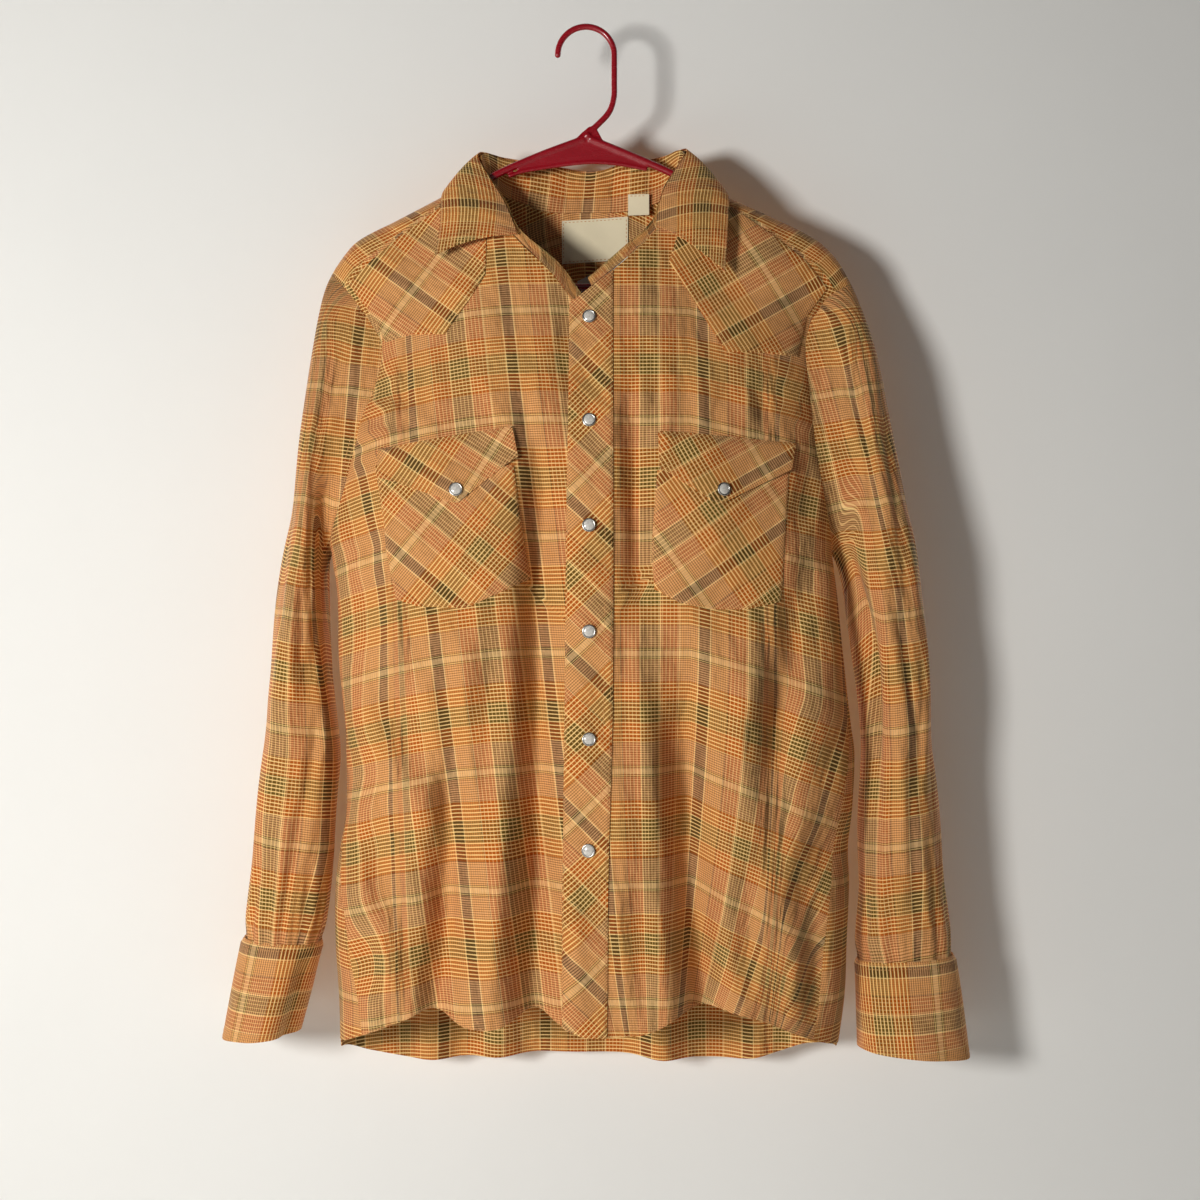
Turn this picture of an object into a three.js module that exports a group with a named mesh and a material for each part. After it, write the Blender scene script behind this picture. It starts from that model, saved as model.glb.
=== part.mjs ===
// A long-sleeved western snap shirt hanging on a tubular plastic hanger.
// Millimetres, +Z up, +X to the viewer's right, the front of the shirt faces -Y.
// The origin is the inner top of the hook. Left and right are the viewer's.
import * as THREE from 'three';

// Driving dimensions
const CLOTH = 1.2;
const SEAM_TRIM = 0.5;
const ARMHOLE_TRIM = 1.2;
const ROW_CROWDING = 1.35;
const LAYER_GAP = 1.1;
const SHOULDER_ROUND = 12;
const SHOULDER_FALL = 300;
const SIDE_SQUARENESS = 3.5;
const UNDERARM_Z = -445;
const ARMHOLE_RISE = 70;
const ARMHOLE_TURN = THREE.MathUtils.degToRad(16);
const STAND_SEAM_RISE = 2.2;
const UNDERLAP_DEPTH = 4.5;
const UNDERLAP_EASE = 16;
const UNDERLAP_WIDTH = 24;
const NECK_HALF_WIDTH = 88;
const BACK_NECK_RUN = 64;
const YOKE_HEM_GAP = 1.5;
const YOKE_FRONT_DROP = { neck: 10, tip: 36 };
const SNAP = { radius: 5.6, height: 2.6, rim: 1.0 };
const ROD_RADIUS = 3.2;
const HOOK_ROD_RADIUS = 2.75;
const HOOK_RADIUS = 24;
const WEB_THICKNESS = 2.4;
const HANGER_GAP = 0.35;
const BAR_GAP = 1.3;

// The visible outline of the body, one row for each height
const OUTLINE = [
  { z: -100, left: -232, right: 238 },
  { z: -200, left: -228, right: 238 },
  { z: -209, left: -216, right: 233 },
  { z: -220, left: -204.5, right: 218 },
  { z: -228, left: -198, right: 205 },
  { z: -240, left: -189, right: 196.5 },
  { z: -250, left: -182, right: 189.5 },
  { z: -272, left: -171, right: 184.5 },
  { z: -307, left: -176.6, right: 186.9 },
  { z: -332, left: -186.7, right: 189 },
  { z: -356, left: -192, right: 191.4 },
  { z: -390, left: -200.5, right: 197 },
  { z: -430, left: -212.5, right: 204.5 },
  { z: -445, left: -214, right: 207 },
  { z: -481, left: -209, right: 211.5 },
  { z: -537, left: -207.7, right: 217 },
  { z: -589, left: -202.3, right: 223 },
  { z: -613, left: -201.5, right: 226 },
  { z: -660, left: -201.3, right: 224 },
  { z: -691, left: -206.4, right: 220.5 },
  { z: -722, left: -210.5, right: 221.5 },
  { z: -772, left: -210.5, right: 219.5 },
  { z: -819, left: -207.7, right: 217.5 },
  { z: -890, left: -206, right: 207 },
];

// How far the front and back stand out from the middle sheet, and where that sheet lies
const FULLNESS = [
  { z: -100, front: 60, back: 46, middle: 0 },
  { z: -228, front: 63, back: 48, middle: 0 },
  { z: -330, front: 67, back: 50, middle: -7 },
  { z: -445, front: 69, back: 51, middle: -11 },
  { z: -700, front: 71, back: 53, middle: -12 },
  { z: -890, front: 73, back: 55, middle: -10 },
];

// The ridge of the shoulders over the hanger
const SHOULDER = [
  { x: -232, z: -240 },
  { x: -218.5, z: -212.5 },
  { x: -209, z: -197 },
  { x: -195, z: -180.5 },
  { x: -162, z: -163 },
  { x: -117, z: -139.5 },
  { x: -88, z: -123 },
  { x: 0, z: -90 },
  { x: 88, z: -123.5 },
  { x: 116, z: -140.5 },
  { x: 153.5, z: -157.5 },
  { x: 195.5, z: -178.5 },
  { x: 213, z: -195 },
  { x: 222, z: -210 },
  { x: 238, z: -240 },
];

// Folds of the body: the middle line from top to bottom, half width, and depth pressed inwards
const FRONT_FOLDS = [
  { topX: -34, topZ: -300, bottomX: -42, bottomZ: -900, width: 17, depth: 28, fade: 170 },
  { topX: -96, topZ: -500, bottomX: -128, bottomZ: -900, width: 17, depth: 24, fade: 220 },
  { topX: 37, topZ: -280, bottomX: 45, bottomZ: -520, width: 11, depth: 12, fade: 90 },
  { topX: 66, topZ: -470, bottomX: 104, bottomZ: -900, width: 20, depth: 30, fade: 200 },
  { topX: -168, topZ: -600, bottomX: -150, bottomZ: -800, width: 16, depth: 9, fade: 100 },
  { topX: 176, topZ: -400, bottomX: 150, bottomZ: -720, width: 14, depth: 9, fade: 110 },
];
const BACK_FOLDS = [
  { topX: -58, topZ: -330, bottomX: -76, bottomZ: -900, width: 20, depth: 22, fade: 240 },
  { topX: 44, topZ: -330, bottomX: 66, bottomZ: -900, width: 19, depth: 24, fade: 260 },
  { topX: -138, topZ: -420, bottomX: -132, bottomZ: -900, width: 16, depth: 13, fade: 180 },
  { topX: 134, topZ: -440, bottomX: 146, bottomZ: -900, width: 17, depth: 15, fade: 200 },
];

// Edges of the pieces on the body
const PLACKET = [
  { z: -230, left: -13, right: 22.4 },
  { z: -565, left: -16, right: 22 },
  { z: -700, left: -17.4, right: 19 },
  { z: -890, left: -18.5, right: 17 },
];
const NECKLINE_LEFT = [
  { x: -88, z: -126.5 },
  { x: -82, z: -148 },
  { x: -72, z: -166 },
  { x: -56, z: -186 },
  { x: -29, z: -213.5 },
  { x: -7, z: -242 },
  { x: 14, z: -262 },
];
const NECKLINE_RIGHT = [
  { x: -16, z: -243 },
  { x: 4.5, z: -227 },
  { x: 34, z: -202 },
  { x: 58, z: -177 },
  { x: 74, z: -158 },
  { x: 83, z: -146 },
  { x: 88, z: -126.5 },
];
const FRONT_HEM = [
  { x: -215, z: -858 },
  { x: -185, z: -842 },
  { x: -150, z: -827 },
  { x: -128, z: -819 },
  { x: -95, z: -829 },
  { x: -70, z: -829 },
  { x: -42, z: -818 },
  { x: -18, z: -829 },
  { x: 0, z: -836 },
  { x: 25, z: -836 },
  { x: 50, z: -833 },
  { x: 78, z: -820 },
  { x: 105, z: -817 },
  { x: 140, z: -824 },
  { x: 168, z: -836 },
  { x: 190, z: -846 },
  { x: 225, z: -860 },
];
const BACK_HEM = [
  { x: -220, z: -856 },
  { x: -205, z: -862 },
  { x: -185, z: -872 },
  { x: -140, z: -882 },
  { x: -60, z: -879 },
  { x: 30, z: -880 },
  { x: 120, z: -883 },
  { x: 165, z: -876 },
  { x: 190, z: -866 },
  { x: 225, z: -858 },
];
const BACK_YOKE_HEM = [
  { x: -190, z: -282 },
  { x: -95, z: -290 },
  { x: -48, z: -304 },
  { x: 2, z: -330 },
  { x: 52, z: -304 },
  { x: 100, z: -290 },
  { x: 200, z: -282 },
];
// The side seams come round to the front below the waist: degrees from the front's middle
const SIDE_SEAM = [
  { z: -445, left: 90, right: 90 },
  { z: -520, left: 90, right: 88 },
  { z: -600, left: 89, right: 76 },
  { z: -680, left: 81, right: 68 },
  { z: -760, left: 69, right: 63 },
  { z: -890, left: 59, right: 59 },
];

// The sleeves: the ring's outer and inner points and its depth in front and behind
const SLEEVE_LEFT = [
  { outerX: -216, outerZ: -209, innerX: -214, innerZ: -445, front: -24, back: 24 },
  { outerX: -225, outerZ: -232, innerX: -218.5, innerZ: -454, front: -32, back: 32 },
  { outerX: -232, outerZ: -275, innerX: -220, innerZ: -464, front: -38, back: 38 },
  { outerX: -240, outerZ: -335, innerX: -220.5, innerZ: -478, front: -43, back: 43 },
  { outerX: -247, outerZ: -400, innerX: -220, innerZ: -497, front: -46, back: 46 },
  { outerX: -256, outerZ: -447, innerX: -218.5, innerZ: -520, front: -46, back: 46 },
  { outerX: -263, outerZ: -503, innerX: -216, innerZ: -550, front: -45, back: 45 },
  { outerX: -269, outerZ: -560, innerX: -212, innerZ: -590, front: -43, back: 43 },
  { outerX: -271, outerZ: -605, innerX: -209.5, innerZ: -625, front: -42, back: 42 },
  { outerX: -280, outerZ: -683, innerX: -214, innerZ: -695, front: -39, back: 39 },
  { outerX: -289, outerZ: -766, innerX: -223, innerZ: -771, front: -34, back: 33 },
];
const SLEEVE_RIGHT = [
  { outerX: 225, outerZ: -216, innerX: 207, innerZ: -445, front: -24, back: 24 },
  { outerX: 234.5, outerZ: -238, innerX: 213, innerZ: -455, front: -32, back: 32 },
  { outerX: 246, outerZ: -277, innerX: 216.5, innerZ: -466, front: -37, back: 37 },
  { outerX: 258, outerZ: -337, innerX: 219.5, innerZ: -480, front: -40, back: 41 },
  { outerX: 270, outerZ: -399, innerX: 222.5, innerZ: -499, front: -42, back: 43 },
  { outerX: 281.5, outerZ: -443, innerX: 226, innerZ: -522, front: -42, back: 43 },
  { outerX: 288, outerZ: -500, innerX: 229.5, innerZ: -552, front: -41, back: 42 },
  { outerX: 292, outerZ: -560, innerX: 232.5, innerZ: -590, front: -40, back: 41 },
  { outerX: 294, outerZ: -610, innerX: 234, innerZ: -625, front: -39, back: 40 },
  { outerX: 299, outerZ: -685, innerX: 231, innerZ: -700, front: -37, back: 38 },
  { outerX: 311, outerZ: -781, innerX: 229, innerZ: -786, front: -33, back: 33 },
];
const CUFF_LEFT = [
  { outerX: -291, outerZ: -768.5, innerX: -222, innerZ: -773.5, front: -34, back: 33 },
  { outerX: -299, outerZ: -810, innerX: -231, innerZ: -812, front: -35, back: 32 },
  { outerX: -308, outerZ: -854, innerX: -242, innerZ: -850, front: -35, back: 31 },
];
const CUFF_RIGHT = [
  { outerX: 313, outerZ: -783.5, innerX: 228, innerZ: -788.5, front: -34, back: 33 },
  { outerX: 319, outerZ: -826, innerX: 228.5, innerZ: -824, front: -34, back: 32 },
  { outerX: 325.5, outerZ: -871, innerX: 230.5, innerZ: -863, front: -34, back: 31 },
];
// Folds of the sleeves: turn is degrees round the ring from the outer point by way of the front
const SLEEVE_FOLDS_LEFT = [
  { start: 3.4, end: 9.2, turnTop: 78, turnBottom: 52, width: 20, depth: -5 },
  { start: 4.6, end: 10, turnTop: 122, turnBottom: 104, width: 19, depth: 6 },
  { start: 1.2, end: 7.5, turnTop: 250, turnBottom: 232, width: 22, depth: 6 },
];
const SLEEVE_FOLDS_RIGHT = [
  { start: 0.9, end: 6.4, turnTop: 126, turnBottom: 112, width: 16, depth: 7 },
  { start: 3.6, end: 9.6, turnTop: 62, turnBottom: 78, width: 21, depth: 5 },
  { start: 1.4, end: 8, turnTop: 290, turnBottom: 306, width: 22, depth: 6 },
];

// The collar from the left front round the back to the right front:
// the seam on the neckline, the roll line at the top of the stand and the fall's outer edge
const COLLAR = [
  { seamX: -9, seamZ: -240, side: -1, rollX: -3, rollY: -40, rollZ: -231 },
  { seamX: -29, seamZ: -213.5, side: -1, rollX: -23, rollY: -36, rollZ: -204 },
  { seamX: -56, seamZ: -186, side: -1, rollX: -54, rollY: -34, rollZ: -177 },
  { seamX: -72, seamZ: -166, side: -1, rollX: -67, rollY: -22, rollZ: -150 },
  { seamX: -87, seamZ: -123, side: -1, rollX: -90, rollY: 3, rollZ: -107 },
  { seamX: -70, seamZ: -138, side: 1, rollX: -67, rollY: 20, rollZ: -105 },
  { seamX: -35, seamZ: -147, side: 1, rollX: -33, rollY: 27, rollZ: -109 },
  { seamX: 1, seamZ: -151, side: 1, rollX: 4, rollY: 29, rollZ: -114 },
  { seamX: 36, seamZ: -147, side: 1, rollX: 34, rollY: 27, rollZ: -108 },
  { seamX: 70, seamZ: -138, side: 1, rollX: 64, rollY: 19, rollZ: -104 },
  { seamX: 87, seamZ: -123, side: -1, rollX: 84, rollY: 3, rollZ: -103 },
  { seamX: 74, seamZ: -158, side: -1, rollX: 66, rollY: -22, rollZ: -138 },
  { seamX: 58, seamZ: -177, side: -1, rollX: 55, rollY: -34, rollZ: -170 },
  { seamX: 34, seamZ: -202, side: -1, rollX: 30, rollY: -38, rollZ: -193 },
  { seamX: 5, seamZ: -227, side: -1, rollX: 2, rollY: -46, rollZ: -219 },
];
const COLLAR_FALL = [
  { rollX: -56.5, rollY: -39, rollZ: -181, edgeX: -124, edgeY: -43, edgeZ: -199, swell: 15 },
  { rollX: -68, rollY: -25, rollZ: -152, edgeX: -121, edgeY: -33, edgeZ: -171, swell: 13 },
  { rollX: -92, rollY: 2, rollZ: -105.5, edgeX: -119, edgeY: -8, edgeZ: -137, swell: 9 },
  { rollX: -69, rollY: 23, rollZ: -103, edgeX: -94, edgeY: 34, edgeZ: -148, swell: 10 },
  { rollX: -34, rollY: 30.5, rollZ: -107, edgeX: -46, edgeY: 43, edgeZ: -161, swell: 8 },
  { rollX: 4, rollY: 33, rollZ: -112, edgeX: 3, edgeY: 48, edgeZ: -165, swell: 8 },
  { rollX: 35, rollY: 30.5, rollZ: -106, edgeX: 47, edgeY: 43, edgeZ: -160, swell: 8 },
  { rollX: 66, rollY: 22, rollZ: -102, edgeX: 93, edgeY: 34, edgeZ: -148, swell: 10 },
  { rollX: 86, rollY: 2, rollZ: -101.5, edgeX: 118, edgeY: -8, edgeZ: -138, swell: 9 },
  { rollX: 66, rollY: -25, rollZ: -140, edgeX: 118, edgeY: -35, edgeZ: -172, swell: 13 },
  { rollX: 57.5, rollY: -39, rollZ: -174, edgeX: 115, edgeY: -46, edgeZ: -214, swell: 15 },
];

// Patches sewn on the front: corner heights and the run of each edge
const FRONT_YOKE_LEFT = {
  top: [[-200, -218], [-182, -201], [-156, -178], [-120, -153], [-92, -132]],
  bottom: [[-167, -269], [-143, -264], [-116, -265.5], [-98, -240], [-83, -215]],
  left: [[-200, -218], [-179, -246], [-167, -269]],
  right: [[-92, -132], [-82, -160], [-83, -215]],
};
const FRONT_YOKE_RIGHT = {
  top: [[92, -132], [124, -155], [158, -179], [184, -199], [203, -222]],
  bottom: [[69, -204], [92, -242], [115, -281], [148, -280.5], [176, -282]],
  left: [[92, -132], [84, -156], [69, -204]],
  right: [[203, -222], [185, -246], [176, -282]],
};
const POCKET_LEFT = {
  top: [[-172, -374], [-58, -376]],
  bottom: [[-153, -484], [-133, -490], [-96, -491], [-68, -478], [-45, -467]],
  left: [[-172, -374], [-163, -424], [-161, -445], [-153, -484]],
  right: [[-58, -376], [-52, -425], [-45, -467]],
};
const POCKET_RIGHT = {
  top: [[58, -380], [166, -378]],
  bottom: [[56, -476], [77, -487], [103, -492], [131, -492], [158, -486]],
  left: [[58, -380], [54, -446], [56, -476]],
  right: [[166, -378], [160, -470], [158, -486]],
};
const FLAP_LEFT = {
  top: [[-170, -361], [-59, -344]],
  bottom: [[-167, -385], [-103, -407], [-55, -369]],
  left: [[-170, -361], [-167, -385]],
  right: [[-59, -344], [-55, -369]],
};
const FLAP_RIGHT = {
  top: [[60, -348], [172, -356]],
  bottom: [[60, -378], [107, -408], [167, -379]],
  left: [[60, -348], [60, -378]],
  right: [[172, -356], [167, -379]],
};
const PATCH_LIFT = { yoke: 1, pocket: 1, flap: 2 };

// Blank labels inside the back of the neck, drawn on the inner face of the back yoke
const NECK_LABEL = { left: -21, right: 36, top: -157, bottom: -193 };
const CARE_STRIP = { startX: -8, startZ: -208, endX: 42, endZ: -186, width: 8 };
const SIZE_TAG = { left: 33, right: 51, top: -130, bottom: -148 };

const FRONT_SNAP_HEIGHTS = [-253, -339.5, -424.5, -509.5, -596, -685.5];
const FRONT_SNAP_X = 3;
const POCKET_SNAPS = { left: { x: -104, z: -396 }, right: { x: 110, z: -396 } };
const CUFF_SNAP_STEPS = [0.16, 0.5, 0.84];
const CUFF_SNAP_TURN = 262;

// Hanger, in its own plane at y = 0
const ARM_LEFT = [
  [-2.5, -93], [-40, -107], [-75, -122.4], [-95, -134.8], [-117, -146.6], [-162, -169.6], [-188, -184],
  [-197.5, -193.5], [-200, -204], [-195, -213.5], [-186, -218.5],
];
const ARM_RIGHT = [
  [4.2, -93], [40, -107.5], [75, -123], [95, -135.4], [116, -147.8], [153.5, -164.8], [190, -182.5],
  [203, -193], [207.5, -204], [203, -214], [194, -218.5],
];
const BAR_Z = -218.5;
const BAR_ENDS = { left: -185.5, right: 193.5 };
const WEB_LOWER_EDGE = [[-66, -124.5], [-50, -119.5], [-3.4, -113], [25.5, -113.8], [52, -118.6]];

// Reads a column of a table at a height or width, with a smooth curve between the rows
function read(table, key, at, column) {
  const falling = table[0][key] > table[table.length - 1][key];
  const rows = falling ? [...table].reverse() : table;
  const last = rows.length - 1;
  if (at <= rows[0][key]) return rows[0][column];
  if (at >= rows[last][key]) return rows[last][column];
  let i = 0;
  while (rows[i + 1][key] < at) i += 1;
  const slope = (a, b) => (rows[b][column] - rows[a][column]) / (rows[b][key] - rows[a][key]);
  const span = rows[i + 1][key] - rows[i][key];
  const t = (at - rows[i][key]) / span;
  const slopeStart = slope(Math.max(i - 1, 0), i + 1) * span;
  const slopeEnd = slope(i, Math.min(i + 2, last)) * span;
  const start = rows[i][column];
  const end = rows[i + 1][column];
  const blend = t * t * (3 - 2 * t);
  return start + (end - start) * blend
    + slopeStart * t * (1 - t) ** 2
    - slopeEnd * t * t * (1 - t);
}

const clamp = THREE.MathUtils.clamp;
const lerp = THREE.MathUtils.lerp;
const radians = THREE.MathUtils.degToRad;
const smooth = (t) => THREE.MathUtils.smoothstep(t, 0, 1);

// A point on a polyline at a share of its length
function pointAlong(points, share) {
  const lengths = points.slice(1).map((p, i) => Math.hypot(p[0] - points[i][0], p[1] - points[i][1]));
  let left = share * lengths.reduce((sum, length) => sum + length, 0);
  for (let i = 0; i < lengths.length; i += 1) {
    if (left <= lengths[i] || i === lengths.length - 1) {
      const t = Math.min(left / lengths[i], 1);
      return [lerp(points[i][0], points[i + 1][0], t), lerp(points[i][1], points[i + 1][1], t)];
    }
    left -= lengths[i];
  }
  return points[points.length - 1];
}

// The body's surface

const ridge = (x) => read(SHOULDER, 'x', x, 'z');

// The armhole seam's turn from the front, ninety degrees at the underarm and below
function armholeAngle(z) {
  const rise = clamp((z - UNDERARM_Z) / ARMHOLE_RISE, 0, 1);
  return Math.PI / 2 - ARMHOLE_TURN * Math.sqrt(1 - (1 - rise) ** 2);
}

function section(z) {
  const left = read(OUTLINE, 'z', z, 'left');
  const right = read(OUTLINE, 'z', z, 'right');
  return {
    centre: (left + right) / 2,
    half: (right - left) / 2 / Math.sin(armholeAngle(z)),
    middle: read(FULLNESS, 'z', z, 'middle'),
    front: read(FULLNESS, 'z', z, 'front'),
    back: read(FULLNESS, 'z', z, 'back'),
  };
}

function foldDepth(folds, x, z) {
  return folds.reduce((sum, fold) => {
    const run = (z - fold.topZ) / (fold.bottomZ - fold.topZ);
    const line = lerp(fold.topX, fold.bottomX, run);
    const start = smooth((fold.topZ - z) / fold.fade);
    const end = 1 - smooth((fold.bottomZ - z) / fold.fade + 1);
    const endShare = fold.bottomZ < -880 ? 1 : end;
    return sum + fold.depth * start * endShare * Math.exp(-(((x - line) / fold.width) ** 2));
  }, 0);
}

// How far the cloth stands from the middle sheet: side is -1 for the front, 1 for the back
function standOff(x, z, drop, side, across) {
  const { front, back } = section(z);
  const full = side < 0 ? front : back;
  const edge = Math.sqrt(Math.max(0, 1 - Math.min(Math.abs(across), 1) ** SIDE_SQUARENESS));
  const cap = SHOULDER_ROUND * Math.sqrt(1 - (1 - Math.min(drop / SHOULDER_ROUND, 1)) ** 2);
  const fill = 1 - (1 - clamp(drop / SHOULDER_FALL, 0, 1)) ** 2;
  const fold = foldDepth(side < 0 ? FRONT_FOLDS : BACK_FOLDS, x, z);
  return (cap + (full - SHOULDER_ROUND) * fill - fold) * edge;
}

// A point by its turn from the front's middle, and its height
function bodyPoint(angle, z) {
  const { centre, half, middle } = section(z);
  const across = Math.sin(angle);
  const x = centre + half * across;
  const side = Math.cos(angle) >= 0 ? -1 : 1;
  const drop = Math.max(0, ridge(x) - z);
  return new THREE.Vector3(x, middle + side * standOff(x, z, drop, side, across), z);
}

// The turn of a point given by its place across, on the front or the back
function angleAt(x, z, side) {
  const { centre, half } = section(z);
  const angle = Math.asin(clamp((x - centre) / half, -1, 1));
  return side < 0 ? angle : Math.PI - angle;
}

// A point by its place across and its run over the shoulder: below 0 in front, above 0 behind
function dropOf(run) {
  const quarter = SHOULDER_ROUND * Math.PI / 2;
  const length = Math.abs(run);
  if (length > quarter) return SHOULDER_ROUND + length - quarter;
  return SHOULDER_ROUND * (1 - Math.cos(length / SHOULDER_ROUND));
}

function runOf(drop) {
  if (drop > SHOULDER_ROUND) return SHOULDER_ROUND * (Math.PI / 2 - 1) + drop;
  return SHOULDER_ROUND * Math.acos(1 - drop / SHOULDER_ROUND);
}

function shoulderPoint(x, run) {
  const drop = dropOf(run);
  const z = ridge(x) - drop;
  const { centre, half, middle } = section(z);
  const side = run < 0 ? -1 : 1;
  return new THREE.Vector3(x, middle + side * standOff(x, z, drop, side, (x - centre) / half), z);
}

// Walls of cloth

// The outward direction of a surface from its two parameters
function normalOf(surface, a, b, stepA, stepB, outward) {
  const alongA = surface(a + stepA, b).sub(surface(a - stepA, b));
  const alongB = surface(a, b + stepB).sub(surface(a, b - stepB));
  const normal = alongA.cross(alongB).normalize();
  return normal.dot(outward) < 0 ? normal.negate() : normal;
}

// Outward directions of a grid of points, closed round its columns when it is a tube
function gridNormals(points, closed, outwardAt) {
  const rows = points.length;
  const columns = points[0].length;
  return points.map((row, i) => row.map((point, j) => {
    const next = closed ? (j + 1) % columns : Math.min(j + 1, columns - 1);
    const before = closed ? (j + columns - 1) % columns : Math.max(j - 1, 0);
    const across = row[next].clone().sub(row[before]);
    const down = points[Math.min(i + 1, rows - 1)][j].clone().sub(points[Math.max(i - 1, 0)][j]);
    const normal = across.cross(down).normalize();
    return normal.dot(outwardAt(point, i, j)) < 0 ? normal.negate() : normal;
  }));
}

// Pulls the edge rows and columns back by the seam's share of the gap
function trimEdges(points, edges, gap = SEAM_TRIM) {
  const rows = points.length;
  const columns = points[0].length;
  const pull = (point, towards) => point.addScaledVector(towards.clone().sub(point).normalize(), gap);
  if (edges.includes('top')) points[0].forEach((point, j) => pull(point, points[1][j]));
  if (edges.includes('bottom')) points[rows - 1].forEach((point, j) => pull(point, points[rows - 2][j]));
  if (edges.includes('sides')) {
    points.forEach((row) => {
      pull(row[0], row[1]);
      pull(row[columns - 1], row[columns - 2]);
    });
  }
  return points;
}

// A closed wall between the outer points and the same points moved in by the cloth's thickness
function wall(points, normals, { closed = false, lift = 0, thickness = CLOTH } = {}) {
  const rows = points.length;
  const columns = points[0].length;
  const outer = points.map((row, i) => row.map((p, j) => p.clone().addScaledVector(normals[i][j], lift)));
  const inner = outer.map((row, i) => row.map((p, j) => p.clone().addScaledVector(normals[i][j], -thickness)));
  const positions = [...outer.flat(), ...inner.flat()].flatMap((p) => [p.x, p.y, p.z]);
  const innerStart = rows * columns;
  const at = (i, j) => i * columns + (j % columns);
  const indices = [];
  const quad = (a, b, c, d) => indices.push(a, b, c, a, c, d);
  const lastColumn = closed ? columns : columns - 1;
  for (let i = 0; i < rows - 1; i += 1) {
    for (let j = 0; j < lastColumn; j += 1) {
      const corners = [at(i, j), at(i + 1, j), at(i + 1, j + 1), at(i, j + 1)];
      quad(...corners);
      // The inner face is split along the same diagonal, so the two never cross
      quad(...[corners[0], corners[3], corners[2], corners[1]].map((c) => c + innerStart));
    }
  }
  const edgeQuad = (a, b) => quad(a, b, b + innerStart, a + innerStart);
  for (let j = 0; j < lastColumn; j += 1) {
    edgeQuad(at(0, j), at(0, j + 1));
    edgeQuad(at(rows - 1, j + 1), at(rows - 1, j));
  }
  if (!closed) {
    for (let i = 0; i < rows - 1; i += 1) {
      edgeQuad(at(i + 1, 0), at(i, 0));
      edgeQuad(at(i, columns - 1), at(i + 1, columns - 1));
    }
  }
  return facingOut(positions, indices);
}

// A geometry whose triangles enclose a positive volume
function facingOut(positions, indices) {
  const corner = (i) => new THREE.Vector3().fromArray(positions, indices[i] * 3);
  let volume = 0;
  for (let i = 0; i < indices.length; i += 3) {
    volume += corner(i).dot(corner(i + 1).cross(corner(i + 2)));
  }
  const turned = volume < 0 ? indices.map((_, i) => indices[i - (i % 3) + [0, 2, 1][i % 3]]) : indices;
  const geometry = new THREE.BufferGeometry();
  geometry.setAttribute('position', new THREE.Float32BufferAttribute(positions, 3));
  geometry.setIndex(turned);
  geometry.computeVertexNormals();
  return geometry;
}

const share = (i, count) => i / (count - 1);
const range = (count) => Array.from({ length: count }, (_, i) => i);

// A panel of the body between two edges given as turns, and two given as heights across
function bodyPanel({ from, to, top, bottom, columns, rows, sink = () => 0, edges }) {
  const angleOf = (s, z) => lerp(from(z), to(z), s);
  const heightOf = (s, line) => {
    let z = line(bodyPoint(angleOf(s, -400), -400).x, angleOf(s, -400));
    for (let i = 0; i < 40; i += 1) z = lerp(z, line(bodyPoint(angleOf(s, z), z).x, angleOf(s, z)), 0.3);
    return z;
  };
  const outward = new THREE.Vector3();
  const points = range(rows).map(() => []);
  const normals = range(rows).map(() => []);
  range(columns).forEach((j) => {
    const s = share(j, columns);
    const highest = heightOf(s, top);
    const lowest = heightOf(s, bottom);
    range(rows).forEach((i) => {
      const z = lerp(highest, lowest, share(i, rows) ** ROW_CROWDING);
      const angle = angleOf(s, z);
      outward.set(Math.sin(angle), -Math.cos(angle), 0);
      normals[i][j] = normalOf(bodyPoint, angle, z, 0.01, 0.5, outward);
      points[i][j] = bodyPoint(angle, z);
      points[i][j].y += sink(points[i][j].x, z);
    });
  });
  return wall(trimEdges(points, edges), normals);
}

// A patch inside four edge lines on the front, laid on the panel's own points
function frontPatch({ top, bottom, left, right }, { columns, rows, layer = 0, lift, edges = [] }) {
  const points = [];
  const normals = [];
  const outward = new THREE.Vector3(0, -1, 0);
  range(rows).forEach((i) => {
    const v = share(i, rows);
    const [leftPoint, rightPoint] = [pointAlong(left, v), pointAlong(right, v)];
    points.push([]);
    normals.push([]);
    range(columns).forEach((j) => {
      const u = share(j, columns);
      const [topPoint, bottomPoint] = [pointAlong(top, u), pointAlong(bottom, u)];
      const [x, z] = [0, 1].map((k) => lerp(leftPoint[k], rightPoint[k], u)
        + lerp(topPoint[k], bottomPoint[k], v)
        - lerp(lerp(top[0][k], top[top.length - 1][k], u), lerp(bottom[0][k], bottom[bottom.length - 1][k], u), v));
      const angle = angleAt(x, z, -1);
      points[i].push(bodyPoint(angle, z));
      normals[i].push(normalOf(bodyPoint, angle, z, 0.01, 0.5, outward));
    });
  });
  const outer = lift ?? layer * (CLOTH + LAYER_GAP);
  return wall(trimEdges(points, edges), normals, { lift: outer });
}

// Pieces of the body

const placketLeft = (z) => read(PLACKET, 'z', z, 'left');
const placketRight = (z) => read(PLACKET, 'z', z, 'right');

// The shoulder seam lies a little in front of the ridge
function shoulderSeamRun(x) {
  const { neck, tip } = YOKE_FRONT_DROP;
  const share01 = clamp((Math.abs(x) - NECK_HALF_WIDTH) / (204 - NECK_HALF_WIDTH), 0, 1.1);
  return -(neck + (tip - neck) * share01 ** 1.5);
}
const shoulderSeam = (x) => ridge(x) - dropOf(shoulderSeamRun(x));
const frontTop = (neckline) => (x) => (
  Math.abs(x) >= NECK_HALF_WIDTH ? shoulderSeam(x) : read(neckline, 'x', x, 'z')
);
const frontHem = (x) => read(FRONT_HEM, 'x', x, 'z');

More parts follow.
